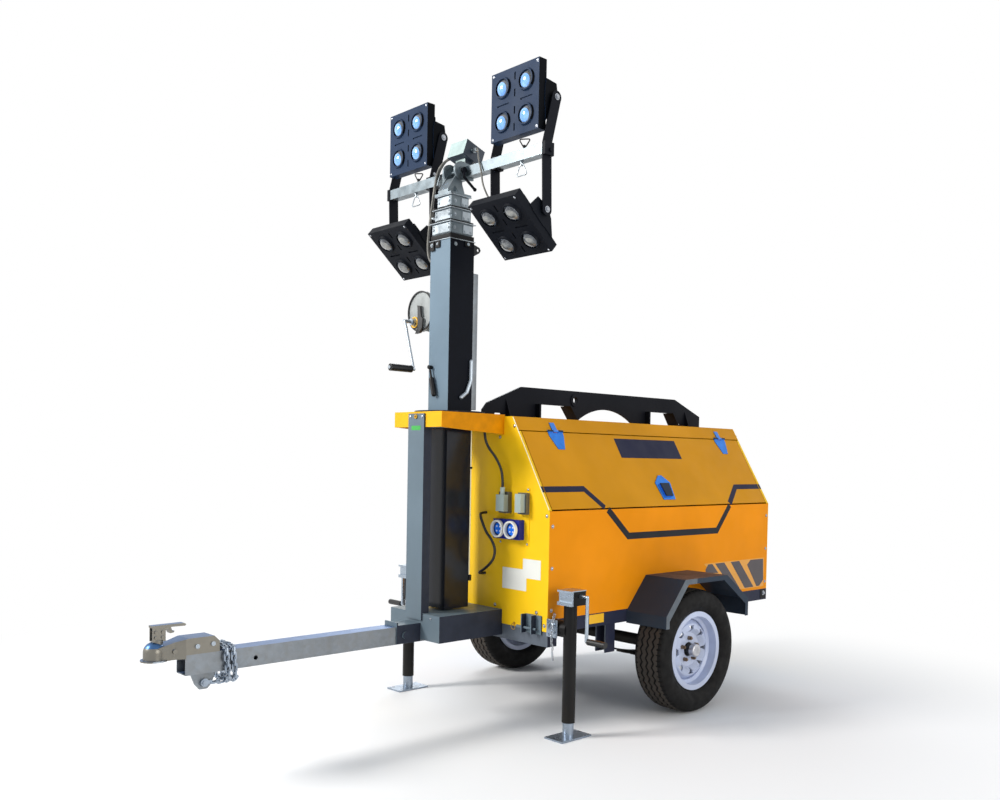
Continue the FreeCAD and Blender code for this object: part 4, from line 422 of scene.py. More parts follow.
# Half profiles of the tyre, outside and inside: distance from its middle plane, and radius.
profile = np.array([(0.0635, 0.1775), (0.0637, 0.192), (0.066, 0.199), (0.0735, 0.2045), (0.083, 0.214),
                    (0.0905, 0.228), (0.0938, 0.245), (0.0930, 0.262), (0.0895, 0.277), (0.0850, 0.2885),
                    (0.0795, 0.2960), (0.0740, 0.3005), (0.0640, 0.3040), (0.0480, 0.3062), (0.0240, 0.3072),
                    (0.0, 0.3073)])
inner_profile = np.array([(0.0, 0.292), (0.050, 0.290), (0.074, 0.280), (0.080, 0.262), (0.079, 0.240),
                          (0.064, 0.214), (0.050, 0.195), (0.044, 0.1775)])
half_outer = smooth_half(profile, 78)
half_inner = smooth_half(inner_profile, 11)
flip = np.array([-1, 1])
tyre_loop = np.concatenate([half_outer, (half_outer * flip)[-2::-1], (half_inner * flip)[::-1][:-1],
                            half_inner])[::-1]
for wheel_side, sign in (("left", 1), ("right", -1)):
    tread_mesh = closed_ring("road_tyre_" + wheel_side, tyre_loop, sign * wheel_y)
    road_tyre = placed(tread_mesh, tyre_finish, "wheel_" + wheel_side)
    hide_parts("tyre_" + wheel_side)
rim_paint = paint("rim_paint", (0.74, 0.78, 0.88), 0.32, coat=0.2, dust=0.25, dust_low=0.0, dust_high=0.9)
dress(rim_paint, "rim_left", "rim_right")
hub_finish, links, shader, place = new_finish("hub_metal")
x, y, z = axes(place)
from_hub = distance_of(worked("ADD", x, mid), worked("SUBTRACT", z, tyre_radius))
nuts_from = 0.042
worn = cloudy(place, 60.0, 0.0, 0.5)
zinc_tone = blend_colours(worn, shade_of(0.80, 0.80, 0.82), shade_of(0.5, 0.5, 0.52))
nut_tone = blend_colours(worn, shade_of(0.52, 0.44, 0.36), shade_of(0.32, 0.26, 0.21))
links.new(blend_colours(chosen(from_hub, nuts_from), zinc_tone, nut_tone), shader.inputs["Base Color"])
shader.inputs["Metallic"].default_value = 0.85
shader.inputs["Roughness"].default_value = 0.3
cap_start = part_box("hub_left")[1][1] - 0.0285
on_barrel = times(chosen(worked("ABSOLUTE", y), cap_start, above=False),
                  chosen(from_hub, nuts_from, above=False))
second_colour(hub_finish, on_barrel, (0.05, 0.05, 0.06), 0.45, 0.0)
dress(hub_finish, "hub_left", "hub_right")

# Running gear and frame: black leaf springs and axle, bolted under a welded frame in dark grey paint.
# The frame's front faces are painted paler: painted light. Its lower part carries road dust.


def axes_of(finish, kind="Object"):
    """The three parts of the Object coordinates of that finish, or of its Normal."""
    return axes(link_of(finish, kind))


under_black = paint("under_black", (0.05, 0.05, 0.06), 0.5, coat=0.0, gloss=0.1, dust=0.12, dust_low=0.2,
                    dust_high=0.6, grain=0.1)
frame_paint = paint("frame_paint", (0.14, 0.16, 0.24), 0.42, coat=0.0, gloss=0.15, dust=0.1, dust_low=0.3,
                    dust_high=0.55, grain=0.08)
dress(under_black, "axle", "leaf_springs")
# Painted light: the frame's faces that look forward take a paler grey.
second_colour(frame_paint, chosen(axes_of(frame_paint, "Normal")[0], 0.9), (0.36, 0.39, 0.43), 0.45)
dress(frame_paint, "chassis_frame")

# Mast base, post and mast tube: folded steel plate in basalt grey, held to the drawbar by a bolted bracket.
# The tube's side faces are painted near-black and the side faces of the base and post a darker grey: painted
# shade.
# Below the collar the tube is painted darker: painted shadow of the collar. Its handle is bright, and its
# lever, lug and turntable are black.
basalt = paint("basalt_paint", (0.37, 0.43, 0.47), 0.42, coat=0.0, gloss=0.25, dust=0.06, dust_low=0.35,
               dust_high=0.8)
mast_grey = paint("mast_paint", (0.41, 0.49, 0.55), 0.40, coat=0.0, gloss=0.3, dust=0.1, dust_low=0.5,
                  dust_high=1.0)
x, y, z = axes_of(mast_grey)
# Painted shade: the tube's two side faces take a near-black colour.
shade_side_facing = worked("ABSOLUTE", axes_of(mast_grey, "Normal")[1])
mast_side_shade = times(chosen(shade_side_facing, 0.9), chosen(worked("ABSOLUTE", y), 0.0715))
second_colour(mast_grey, mast_side_shade, (0.04, 0.055, 0.09), 0.45, gloss=0.08)
# Painted shadow: below the collar the tube takes a darker grey, as if the collar shaded it.
collar_low = 1.386
second_colour(mast_grey, chosen(z, collar_low, False), (0.10, 0.11, 0.14), 0.16, gloss=0.3)
on_handle = times(chosen(y, 0.0728), times(chosen(z, 1.468), chosen(z, 1.75, False)))
second_colour(mast_grey, on_handle, (0.72, 0.76, 0.80), 0.35, 0.7)
on_lever = times(chosen(x, 1.1115 - mid), times(chosen(z, 1.52), chosen(z, 1.70, False)))
second_colour(mast_grey, on_lever, (0.05, 0.05, 0.06), 0.4, 0.0)
on_lug = times(chosen(x, 0.939 - mid, False), chosen(z, 2.19))
second_colour(mast_grey, on_lug, (0.06, 0.07, 0.09), 0.4, 0.0)
on_turntable = times(chosen(z, 1.4567), chosen(z, 1.4665, False))
second_colour(mast_grey, on_turntable, (0.10, 0.11, 0.13), 0.35, 0.0)
# Painted shade: the side faces of the base box, post and bracket take a darker grey.
post_side_shade = chosen(worked("ABSOLUTE", axes_of(basalt, "Normal")[1]), 0.8)
second_colour(basalt, post_side_shade, (0.17, 0.19, 0.24), 0.45, gloss=0.15)
dress(basalt, "base_box", "mast_post", "drawbar_bracket")
dress(mast_grey, "mast_tube")

# Drawbar, mast stages, light bar and jack plates: hot-dip galvanised steel with its spangle. The faces of the
# drawbar, jack plates and coupling that look up are painted bluish: a painted reflection of the sky. The
# coupling is bolted to the drawbar, and its rivets are bright.


def bare_metal(name, colour, roughness, spangle=0.0, metal=0.9, dust=0.15):
    """Zinc or galvanised steel: a bright metal with cloudy or crystalline spangle and scuffs."""
    finish, links, shader, place = new_finish(name)
    base = shade_of(*colour)
    darker = tuple(v * 0.72 for v in base[:3]) + (1.0,)
    tree = finish.node_tree
    cells = tree.nodes.new("ShaderNodeTexVoronoi")
    cells.inputs["Scale"].default_value = 60.0
    links.new(place, cells.inputs["Vector"])
    flakes = tree.nodes.new("ShaderNodeSeparateColor")
    links.new(cells.outputs["Color"], flakes.inputs[0])
    both = worked("ADD", times(flakes.outputs[0], spangle), cloudy(place, 7.0, 0.0, 0.5, 5.0))
    both.node.use_clamp = True
    scuffs = cloudy(place, 30.0, 0.0, dust, 8.0)
    scuffed = blend_colours(scuffs, blend_colours(both, base, darker), shade_of(0.45, 0.42, 0.38))
    links.new(scuffed, shader.inputs["Base Color"])
    links.new(cloudy(place, 22.0, roughness - 0.08, roughness + 0.12, 6.0), shader.inputs["Roughness"])
    shader.inputs["Metallic"].default_value = metal
    bumped(shader, place, 160.0, 0.05)
    return finish


galvanised = bare_metal("galvanised_steel", (0.54, 0.57, 0.60), 0.44, spangle=0.35, metal=0.7, dust=0.3)
stage_metal = bare_metal("stage_steel", (0.50, 0.55, 0.58), 0.36, spangle=0.3, metal=0.8, dust=0.2)
zinc = bare_metal("zinc_plate", (0.62, 0.67, 0.73), 0.28, spangle=0.15, metal=0.9, dust=0.15)
# Painted reflection: low faces of the drawbar and jack plates that look up take a bluish colour, as of the
# sky.
sky_reflection_up = times(chosen(axes_of(galvanised, "Normal")[2], 0.6), chosen(axes_of(galvanised)[2], 0.6, False))
second_colour(galvanised, sky_reflection_up, (0.40, 0.50, 0.66), 0.4)
dress(galvanised, "drawbar", "jack_mounts")
dress(stage_metal, "mast_stage_1", "mast_stage_2", "mast_stage_3", "light_bar", "mast_head")
dress(zinc, "safety_chains", "jack_leg_left", "jack_leg_right")
coupler_zinc = bare_metal("coupler_zinc", (0.50, 0.49, 0.46), 0.36, spangle=0.1, metal=0.85, dust=0.2)
# Painted reflection: the coupling's faces that look up take a bluish colour, as of the sky.
second_colour(coupler_zinc, chosen(axes_of(coupler_zinc, "Normal")[2], 0.45), (0.26, 0.40, 0.58), 0.35)
x, y, z = axes_of(coupler_zinc)
on_rivet = times(chosen(worked("ABSOLUTE", y), 0.0446), chosen(z, 0.53, False))
second_colour(coupler_zinc, on_rivet, (0.70, 0.74, 0.78), 0.25)
dress(coupler_zinc, "coupler", "coupler_latch")

# Body panels: folded steel sheet, sprayed golden yellow and baked, and held by small cap screws.
# The front and rear sheets and the socket panel are painted a lighter yellow than the sides, and so is the
# collar's
# front: painted light.
golden = paint("golden_paint", (0.92, 0.56, 0.0), 0.45, coat=0.0, dust=0.05, dust_low=0.45, dust_high=0.9,
               gloss=0.1)
# Painted light: a lighter copy of the body's yellow for the front and rear sheets and the socket panel.
lit_front_yellow = paint("front_yellow_paint", (0.97, 0.77, 0.04), 0.40, coat=0.0, dust=0.05, dust_low=0.45,
                     dust_high=0.9, gloss=0.25)
# Painted light: the collar's front and top take a lighter yellow, and its side faces the deeper yellow of the
# sides.
collar_yellow = paint("collar_paint", (0.90, 0.68, 0.06), 0.42, coat=0.0, dust=0.03, gloss=0.2)
collar_side = chosen(worked("ABSOLUTE", axes_of(collar_yellow, "Normal")[1]), 0.5)
second_colour(collar_yellow, collar_side, (0.86, 0.55, 0.0), 0.42, gloss=0.1)
dress(golden, "canopy_side_left", "canopy_side_right")
dress(collar_yellow, "mast_collar")
dress(lit_front_yellow, "canopy_front", "canopy_rear", "socket_panel")

# Small fittings on the body: domed cap screws in zinc that hold the front, rear and side sheets, a brass nut
# on the post, a small pull ring low on the front, and a pale line along the folded edge of the front sheet,
# which is a painted highlight.


def at(x, y, z):
    """A point in metres from millimetres ahead of the axle, to the left and up."""
    return np.array([x / 1000 - mid, y / 1000, z / 1000])


def lathe(profile, centre, axis, around=20):
    """A profile of (radius, height) turned about an axis through the centre: each point keeps its height
    along the axis and runs round it at its radius."""
    axis = np.array(axis, float) / np.linalg.norm(axis)
    helper = np.array([0, 0, 1.0]) if abs(axis[2]) < 0.9 else np.array([1.0, 0, 0])
    u = np.cross(axis, helper)
    u /= np.linalg.norm(u)
    v = np.cross(axis, u)
    angle = np.linspace(0, 2 * np.pi, around, endpoint=False)[None, :, None]
    profile = np.array(profile, float)[:, :, None, None]
    ring = profile[:, 0] * (np.cos(angle) * u + np.sin(angle) * v)
    return shell_of(np.array(centre) + ring + profile[:, 1] * axis)


def cap_screw(place, axis, radius):
    """A washer with a domed head on it."""
    dome = [(radius * 1.35, 0), (radius * 1.35, radius * 0.16), (radius, radius * 0.18),
            (radius * 0.96, radius * 0.42), (radius * 0.78, radius * 0.66), (radius * 0.42, radius * 0.80),
            (radius * 0.1, radius * 0.84)]
    return lathe(dome, place, axis, 16)


def wire(path, radius, around=10, closed=False):
    """A round section carried along a path: at each point it stands square to the mean of its two runs."""
    path = np.array(path, float)
    if closed:
        ahead = np.roll(path, -1, axis=0) - path
        back = path - np.roll(path, 1, axis=0)
    else:
        runs = np.diff(path, axis=0)
        ahead = np.concatenate([runs, runs[-1:]])
        back = np.concatenate([runs[:1], runs])
    tangent = ahead / np.linalg.norm(ahead, axis=1)[:, None] + back / np.linalg.norm(back, axis=1)[:, None]
    tangent /= np.linalg.norm(tangent, axis=1)[:, None]
    spread = np.linalg.svd(path - path.mean(axis=0))[2][2]
    u = np.cross(tangent, spread)
    u /= np.linalg.norm(u, axis=1)[:, None]
    v = np.cross(tangent, u)
    angle = np.linspace(0, 2 * np.pi, around, endpoint=False)[None, :, None]
    return shell_of(path[:, None] + radius * (np.cos(angle) * u[:, None] + np.sin(angle) * v[:, None]),
                    closed)


def shells_in(part):
    """The closed shells of a part, which is one shell or a list of parts."""
    return [shell for inner in part for shell in shells_in(inner)] if isinstance(part, list) else [part]


def gathered(name, parts, finish, body, smooth=30.0):
    """All the shells of the parts in one mesh, faces outwards and shaded smooth under that angle."""
    points = []
    faces = []
    count = 0
    for shell_points, shell_faces in shells_in(parts):
        points.append(shell_points)
        faces += [[corner + count for corner in face] for face in shell_faces]
        count += len(shell_points)
    mesh = bpy.data.meshes.new(name)
    mesh.from_pydata(np.concatenate(points).tolist(), [], faces)
    shape = bmesh.new()
    shape.from_mesh(mesh)
    bmesh.ops.recalc_face_normals(shape, faces=shape.faces)
    for edge in shape.edges:
        edge.smooth = bool(len(edge.link_faces) == 2 and edge.calc_face_angle(0) < np.radians(smooth))
    shape.to_mesh(mesh)
    shape.free()
    mesh.polygons.foreach_set("use_smooth", np.ones(len(mesh.polygons), bool))
    placed(mesh, finish, body)


def mirrored_pair(part):
    """The part and its twin on the other side."""
    return [part, [(points * [1, -1, 1], [face[::-1] for face in faces]) for points,
                   faces in shells_in(part)]]


bright_bolt = bare_metal("bright_bolt", (0.70, 0.72, 0.75), 0.25, spangle=0.0, metal=0.9, dust=0.1)
front_x = 846.2
screws = []
for y, z in ((248, 1403), (149, 1351), (473, 991), (417, 544), (134, 547), (469, 490)):
    screws.append(mirrored_pair(cap_screw(at(front_x, y, z), (1, 0, 0), 0.0065)))
for z in (944, 752, 560):
    for x in (823, -953):
        screws.append(mirrored_pair(cap_screw(at(x, 488.2, z), (0, 1, 0), 0.0065)))
for y, z in ((248, 1403), (473, 991), (200, 544), (469, 560), (160, 980)):
    screws.append(mirrored_pair(cap_screw(at(-976.2, y, z), (-1, 0, 0), 0.0065)))
for y, z in ((168, 853), (350, 853), (168, 1107), (350, 1107)):
    screws.append(cap_screw(at(849.2, y, z), (1, 0, 0), 0.0045))
for y, z in ((-44, 1434), (44, 1434)):
    screws.append(cap_screw(at(1236.2, y, z), (1, 0, 0), 0.0055))
for y in (-62, 26, 120):
    screws.append(cap_screw(at(1228.2, y, 514), (1, 0, 0), 0.0050))
gathered("body_screws", screws, bright_bolt, "chassis")
brass = bare_metal("brass_nut", (0.80, 0.62, 0.22), 0.32, spangle=0.0, metal=0.9, dust=0.1)
nut_profile = [(0.0105, 0), (0.0105, 0.004), (0.0090, 0.0055), (0.0045, 0.0055), (0.0040, 0.002)]
gathered("post_nut", [lathe(nut_profile, at(1236.2, 0, 1434), (1, 0, 0), 20)], brass, "chassis")
angle = np.linspace(0, 2 * np.pi, 24, endpoint=False)[:, None]
key_ring = at(853, 269, 460) + np.cos(angle) * [0, 0.013, 0] + np.sin(angle) * [0.002, 0, 0.013]
ring_screw = cap_screw(at(front_x, 269, 474), (1, 0, 0), 0.006)
gathered("pull_ring", [wire(key_ring, 0.0016, 8, True), ring_screw], brass, "chassis", 60.0)
# Painted highlight: a pale wire along the front sheet's folded edges.
pale_edge = paint("pale_edge_paint", (0.96, 0.92, 0.76), 0.3, coat=0.2, dust=0.05)
edge_line = [at(846.0, 235, 1445), at(846.0, 300, 1334.5), at(846.0, 400, 1165), at(846.0, 486, 1019)]
gathered("front_edge_highlight", [mirrored_pair(wire(edge_line, 0.0022))], pale_edge, "chassis")

# Stripe and slanted bars: navy and dark grey film on the doors and sides, the same on both sides, and drawn
# half a millimetre proud of the sheet. The doors are sprayed steel sheet, hinged under the roof's edge. The
# doors and the roof are painted a darker mustard yellow than the sides: painted shade.
navy = paint("navy_film", (0.04, 0.06, 0.19), 0.45, coat=0.0, dust=0.04, gloss=0.2)
side_navy = paint("side_navy_film", (0.07, 0.08, 0.11), 0.45, coat=0.0, dust=0.04, gloss=0.2)
slate = paint("slate_film", (0.34, 0.32, 0.33), 0.45, coat=0.0, dust=0.08, gloss=0.2)
tan_film = paint("tan_film", (0.90, 0.62, 0.20), 0.40, coat=0.1, dust=0.12)
film = 0.0005
under_film = 0.0003
half_width = 0.488
roof_half = 0.231
knee = 1.013
roof = 1.449
slope_run = np.hypot(half_width - roof_half, roof - knee)
slope_mm = slope_run * 1000


def on_slope(x, share, out):
    """A point on the door's slope: x in mm, share of the way down, and out from the sheet in metres."""
    y = roof_half + (half_width - roof_half) * share + out * (roof - knee) / slope_run
    z = roof - (roof - knee) * share + out * (half_width - roof_half) / slope_run
    return np.stack([x / 1000 - mid, y, z], axis=-1)


def on_side(x, z, out):
    """A point on the side sheet: x and z in mm, and out from the sheet in metres."""
    return np.stack([x / 1000 - mid, half_width + out + 0 * x, z / 1000], axis=-1)


def surface(name, points, finish, body, mirrored=False):
    """A grid of points, rows by columns, as one mesh of four-sided faces."""
    rows, columns = points.shape[:2]
    flat = points.reshape(-1, 3).copy()
    index = np.arange(rows * columns).reshape(rows, columns)
    faces = np.stack([index[:-1, :-1], index[:-1, 1:], index[1:, 1:], index[1:, :-1]], axis=-1).reshape(-1, 4)
    if mirrored:
        flat[:, 1] *= -1
        faces = faces[:, ::-1]
    mesh = bpy.data.meshes.new(name)
    mesh.from_pydata(flat.tolist(), [], faces.tolist())
    placed(mesh, finish, body)


def mitred(line, half):
    """The two edges of a flat band of that half width along a line of points, with mitred corners."""
    line = np.array(line, float)
    along = np.diff(line, axis=0)
    along /= np.linalg.norm(along, axis=1)[:, None]
    across = np.stack([-along[:, 1], along[:, 0]], axis=1)
    before = np.concatenate([across[:1], across])
    after = np.concatenate([across, across[-1:]])
    middle = before + after
    middle /= np.linalg.norm(middle, axis=1)[:, None]
    reach = half / np.sum(middle * before, axis=1)
    return line + middle * reach[:, None], line - middle * reach[:, None]


def slope_band(line, half):
    """A band on the slope: its line is x and share, and its half width is in mm."""
    scaled = [(x, share * slope_mm) for x, share in line]
    first, second = mitred(scaled, half)
    return np.stack([on_slope(edge[:, 0], edge[:, 1] / slope_mm, film) for edge in (first, second)])


def side_band(line, half):
    """A band on the side sheet: its line is x and z."""
    return side_patch(mitred(line, half))


def side_patch(corners):
    """A flat patch on the side sheet, between its two chains of corners."""
    corners = np.array(corners, float)
    return on_side(corners[..., 0], corners[..., 1], film)


for side_name, flipped in (("left", False), ("right", True)):
    front_run = slope_band([(822.5, 0.776), (558, 0.776), (462, 0.979)], 15.5)
    rear_run = slope_band([(-586, 0.979), (-714, 0.776), (-949.5, 0.776)], 15.5)
    surface("door_stripe_front_" + side_name, front_run, navy, "door_" + side_name, flipped)
    surface("door_stripe_rear_" + side_name, rear_run, navy, "door_" + side_name, flipped)
    jamb_front = slope_band([(845.5, 0.776), (829, 0.776)], 15.5)
    jamb_rear = slope_band([(-956, 0.776), (-972.5, 0.776)], 15.5)
    surface("jamb_stripe_front_" + side_name, jamb_front, navy, "chassis", flipped)
    surface("jamb_stripe_rear_" + side_name, jamb_rear, navy, "chassis", flipped)
    side_run = side_band([(444, 1012), (288, 878), (-463, 876), (-579, 1012)], 16.5)
    surface("side_stripe_" + side_name, side_run, side_navy, "chassis", flipped)
    for number, corners in enumerate((
        ([(-366, 668), (-390, 694), (-427, 694)], [(-366, 652), (-410, 645), (-486, 641)]),
        ([(-453, 694), (-540, 695)], [(-625, 541), (-697, 541)]),
        ([(-602, 694), (-686, 695)], [(-748, 537), (-838, 537)]),
        ([(-766, 668), (-800, 694), (-931, 693)], [(-868, 538), (-897, 538), (-938, 570)]),
    )):
        patch = side_patch(corners)
        surface("side_bar_%d_%s" % (number, side_name), patch, slate, "chassis", flipped)
    backing = np.array([[(-352, 699), (-941, 699)], [(-548, 533), (-941, 533)]], float)
    backing = on_side(backing[..., 0], backing[..., 1], under_film)
    surface("side_bar_backing_" + side_name, backing, tan_film, "chassis", flipped)
# Painted shade: the doors and roof take a darker copy of the body's yellow.
shaded_mustard = paint("shaded_door_paint", (0.82, 0.56, 0.03), 0.42, coat=0.0, dust=0.04, dust_low=0.5, dust_high=1.1,
                gloss=0.12)
x, y, z = axes_of(shaded_mustard)
out_y = (knee - roof) / -slope_run
out_z = (half_width - roof_half) / slope_run
sheet_level = roof_half * out_y + roof * out_z
rise = worked("ADD", times(worked("ABSOLUTE", y), out_y), times(z, out_z))
second_colour(shaded_mustard, chosen(rise, sheet_level + 0.0009), (0.22, 0.52, 0.90), 0.26, 0.5)
second_colour(shaded_mustard, chosen(rise, sheet_level + 0.0105), (0.16, 0.20, 0.26), 0.35, 0.6)
dress(shaded_mustard, "door_left", "door_right", "canopy_roof")

# Fenders: folded steel sheet in slate grey paint, fixed to the sides over the wheels.
# Their turned outer edge is painted paler: painted light.
fender_grey = paint("fender_paint", (0.16, 0.21, 0.27), 0.42, coat=0.0, gloss=0.15, dust=0.04, dust_low=0.4,
                    dust_high=0.8)
x, y, z = axes_of(fender_grey)
# Painted light: a paler grey on the fenders' turned outer edge, at the front.
painted_lip_light = times(chosen(worked("ABSOLUTE", y), 0.7352), chosen(x, 0.05 - mid))
second_colour(fender_grey, painted_lip_light, (0.40, 0.43, 0.46), 0.3)
dress(fender_grey, "fenders")

# Lifting beam, lamp yokes and jack tubes: plate and tube in black paint. The roof hinges are bright blue,
# the jack heads are zinc-plated, and each jack's crank has a black grip.
beam_black = paint("beam_black", (0.06, 0.07, 0.10), 0.45, coat=0.0, gloss=0.08, dust=0.04)
jack_black = paint("jack_black", (0.05, 0.05, 0.055), 0.38, coat=0.0, gloss=0.15, dust=0.04, dust_low=0.05,
                   dust_high=0.5)
chrome = bare_metal("hinge_chrome", (0.22, 0.52, 0.90), 0.26, spangle=0.05, metal=0.5, dust=0.05)
dress(chrome, "roof_hinges")
jack_zinc = bare_metal("jack_zinc", (0.70, 0.75, 0.80), 0.26, spangle=0.1, metal=0.9, dust=0.1)
x, y, z = axes_of(jack_zinc)
jack_crank_y = 0.636 + 0.043
on_grip = times(chosen(worked("ABSOLUTE", y), jack_crank_y + 0.0095), chosen(z, 0.462, False))
second_colour(jack_zinc, on_grip, (0.05, 0.05, 0.055), 0.4, 0.0)
dress(jack_zinc, "jack_head_left", "jack_head_right")
dress(beam_black, "lifting_beam", "lamp_yokes")
dress(jack_black, "jack_tube_left", "jack_tube_right")

# Winch and its crank: zinc plates and a pale geared cover, mounted beside the mast, and a steel crank.
# The cover's rim and the crank's grip are black.
winch_metal = bare_metal("winch_metal", (0.62, 0.64, 0.64), 0.38, spangle=0.1, metal=0.4, dust=0.15)
winch_y = -0.172
winch_z = 1.950
cover_x = 1.072 - mid
x, y, z = axes_of(winch_metal)
from_drum = distance_of(worked("SUBTRACT", y, winch_y), worked("SUBTRACT", z, winch_z))
on_rim = times(chosen(from_drum, 0.0915), chosen(x, cover_x + 0.0135))
second_colour(winch_metal, on_rim, (0.05, 0.06, 0.07), 0.4, 0.0)
second_colour(winch_metal, chosen(x, cover_x + 0.0206), (0.20, 0.20, 0.20), 0.4, 0.0)
crank_steel = bare_metal("crank_steel", (0.78, 0.82, 0.86), 0.28, spangle=0.05, metal=0.9, dust=0.1)
x, y, z = axes_of(crank_steel)
crank_grip_x = cover_x + 0.079
on_grip = times(chosen(x, crank_grip_x + 0.0135), chosen(x, crank_grip_x + 0.1375, False))
on_grip = times(on_grip, chosen(z, winch_z - 0.26, False))
second_colour(crank_steel, on_grip, (0.04, 0.04, 0.045), 0.45, 0.0)
dress(winch_metal, "winch")
dress(crank_steel, "winch_crank")

# Lamps: die-cast housings in blue-black powder coat, hung between the yoke arms, with four domed lenses each.
# Their side faces are painted near-black, and the two lower lamps a darker blue-black: painted shade.
# The lenses are clear blue-tinted glass over bright reflectors. Their colour is painted: a bright pool in
# each lens, blue in the upper lamps and grey in the lower ones, is a painted reflection.
lamp_paint = paint("lamp_paint", (0.12, 0.19, 0.29), 0.45, coat=0.0, gloss=0.1, dust=0.02, grain=0.08)
# Painted shade: the housings' side faces take a near-black colour.
shade_side_facing = worked("ABSOLUTE", axes_of(lamp_paint, "Normal")[1])
second_colour(lamp_paint, chosen(shade_side_facing, 0.7), (0.03, 0.04, 0.06), 0.45, gloss=0.05)
dress(lamp_paint, "lamp_upper_left", "lamp_upper_right")
# Painted shade: the lower lamps, which face down, take a darker copy of the lamp paint.
shaded_lamp = paint("lamp_paint_lower", (0.055, 0.07, 0.10), 0.45, coat=0.0, gloss=0.08, dust=0.02,
                    grain=0.08)
dress(shaded_lamp, "lamp_lower_left", "lamp_lower_right")
lamp_y = 0.388
lens_off = 0.075
lower_tilt = np.radians(48.9)


def lens_finish(name, pivot_x, pivot_z, tilt, bright, dim):
    """Rings by the distance from the nearest of the lamp's four lens axes: a bright pool low in the dome and
    a dark gap above it, both painted reflection, and a silver rim. The lamp's tilt about its pivot is undone
    first."""
    finish, links, shader, place = new_finish(name)
    level = finish.node_tree.nodes.new("ShaderNodeVectorRotate")
    level.rotation_type = "AXIS_ANGLE"
    level.inputs["Axis"].default_value = (0, 1, 0)
    level.inputs["Center"].default_value = (pivot_x, 0, pivot_z)
    level.inputs["Angle"].default_value = -tilt
    links.new(place, level.inputs["Vector"])
    x, y, z = axes(level.outputs[0])
    across = worked("SUBTRACT", worked("ABSOLUTE", y), lamp_y)
    across = worked("SUBTRACT", worked("ABSOLUTE", across), lens_off)
    height = worked("SUBTRACT", z, pivot_z)
    lift = worked("SUBTRACT", times(chosen(height, 0.0, False), 2 * lens_off), lens_off)
    height = worked("ADD", height, lift)
    on_rim = chosen(distance_of(across, height), 0.0345)
    # Painted reflection: a bright pool low in each lens, shifted down, with a dark gap above it.
    in_reflection_pool = chosen(distance_of(across, worked("ADD", height, 0.006)), 0.0290, False)
    ground = blend_colours(cloudy(place, 55.0, 0.0, 1.0), shade_of(0.10, 0.12, 0.16),
                           shade_of(0.42, 0.44, 0.46))
    pool = blend_colours(cloudy(place, 30.0, 0.0, 1.0), shade_of(*bright), shade_of(*dim))
    inner = blend_colours(in_reflection_pool, ground, pool)
    links.new(blend_colours(on_rim, inner, shade_of(0.50, 0.54, 0.60)), shader.inputs["Base Color"])
    shader.inputs["Metallic"].default_value = 0.25
    shader.inputs["Roughness"].default_value = 0.12
    shader.inputs["Coat Weight"].default_value = 1.0
    shader.inputs["Coat Roughness"].default_value = 0.03
    return finish


# The upper lenses take a blue painted reflection, and the lower ones, which face down, a greyer painted
# reflection.
upper_lens = lens_finish("upper_lens_glass", 0.924 - mid, 2.831, 0.0, (0.36, 0.62, 0.95), (0.60, 0.80, 1.0))
lower_lens = lens_finish("lower_lens_glass", 0.971 - mid, 2.335, lower_tilt, (0.58, 0.58, 0.56),
                         (0.30, 0.33, 0.36))
dress(upper_lens, "lenses_upper_left", "lenses_upper_right")
dress(lower_lens, "lenses_lower_left", "lenses_lower_right")

# Junction box, sockets and plug housings: moulded plastic in slate, blue and pale grey, on the light bar
# and on the panel of the front sheet. Each socket has a pale ring and a lighter blue insert.
box_plastic = paint("box_plastic", (0.22, 0.26, 0.31), 0.45, coat=0.0, dust=0.0, grain=0.08)
box_normal = axes_of(box_plastic, "Normal")
forward = worked("ADD", times(box_normal[0], 0.9455), times(box_normal[2], 0.3256))
second_colour(box_plastic, chosen(forward, 0.93), (0.72, 0.80, 0.79), 0.4)
dress(box_plastic, "junction_box")
socket_blue = paint("socket_blue", (0.05, 0.13, 0.50), 0.32, coat=0.0, gloss=0.3, dust=0.0)
x, y, z = axes_of(socket_blue)
socket_z = 0.918
across = worked("SUBTRACT", worked("ABSOLUTE", worked("SUBTRACT", y, 0.240)), 0.045)
radius = distance_of(across, worked("SUBTRACT", z, socket_z))
ring_x = 0.883 - mid
on_ring = times(chosen(radius, 0.0315), chosen(x, ring_x + 0.007))
second_colour(socket_blue, on_ring, (0.90, 0.90, 0.88), 0.35)
on_insert = times(chosen(radius, 0.028, False), chosen(x, ring_x - 0.013))
second_colour(socket_blue, on_insert, (0.10, 0.46, 0.94), 0.3)
plug_grey = paint("plug_grey", (0.62, 0.68, 0.66), 0.42, coat=0.1, dust=0.0)
second_colour(plug_grey, chosen(axes_of(plug_grey)[0], 0.8712 - mid, False), (0.36, 0.36, 0.33), 0.4)
dress(socket_blue, "power_sockets")
dress(plug_grey, "plug_housings")

# Inside the body: the engine with its generator, in grey paint, and the black fuel tank.
# Both rest in the frame behind the doors, and show only with a door open.
engine_paint = paint("engine_paint", (0.30, 0.33, 0.36), 0.45, coat=0.1, dust=0.2)
tank_black = paint("tank_black", (0.10, 0.10, 0.10), 0.5, coat=0.0, dust=0.2)
dress(engine_paint, "engine_block")
dress(tank_black, "fuel_tank")

# Stage collars: a bright plate frame bolted round the top of each mast stage, black nylon slides on it,
# cover plates on the near and far faces and hexagon bolts between them.


def hex_bolt(place, axis, radius):
    """A washer with a six-sided head on it, its edge broken at the top."""
    washer = lathe([(radius * 1.5, 0), (radius * 1.5, radius * 0.2), (radius * 0.8, radius * 0.22)], place,
                   axis, 20)
    head = lathe([(radius, 0), (radius, radius * 0.8), (radius * 0.86, radius * 0.95)], place, axis, 6)
    return [washer, head]


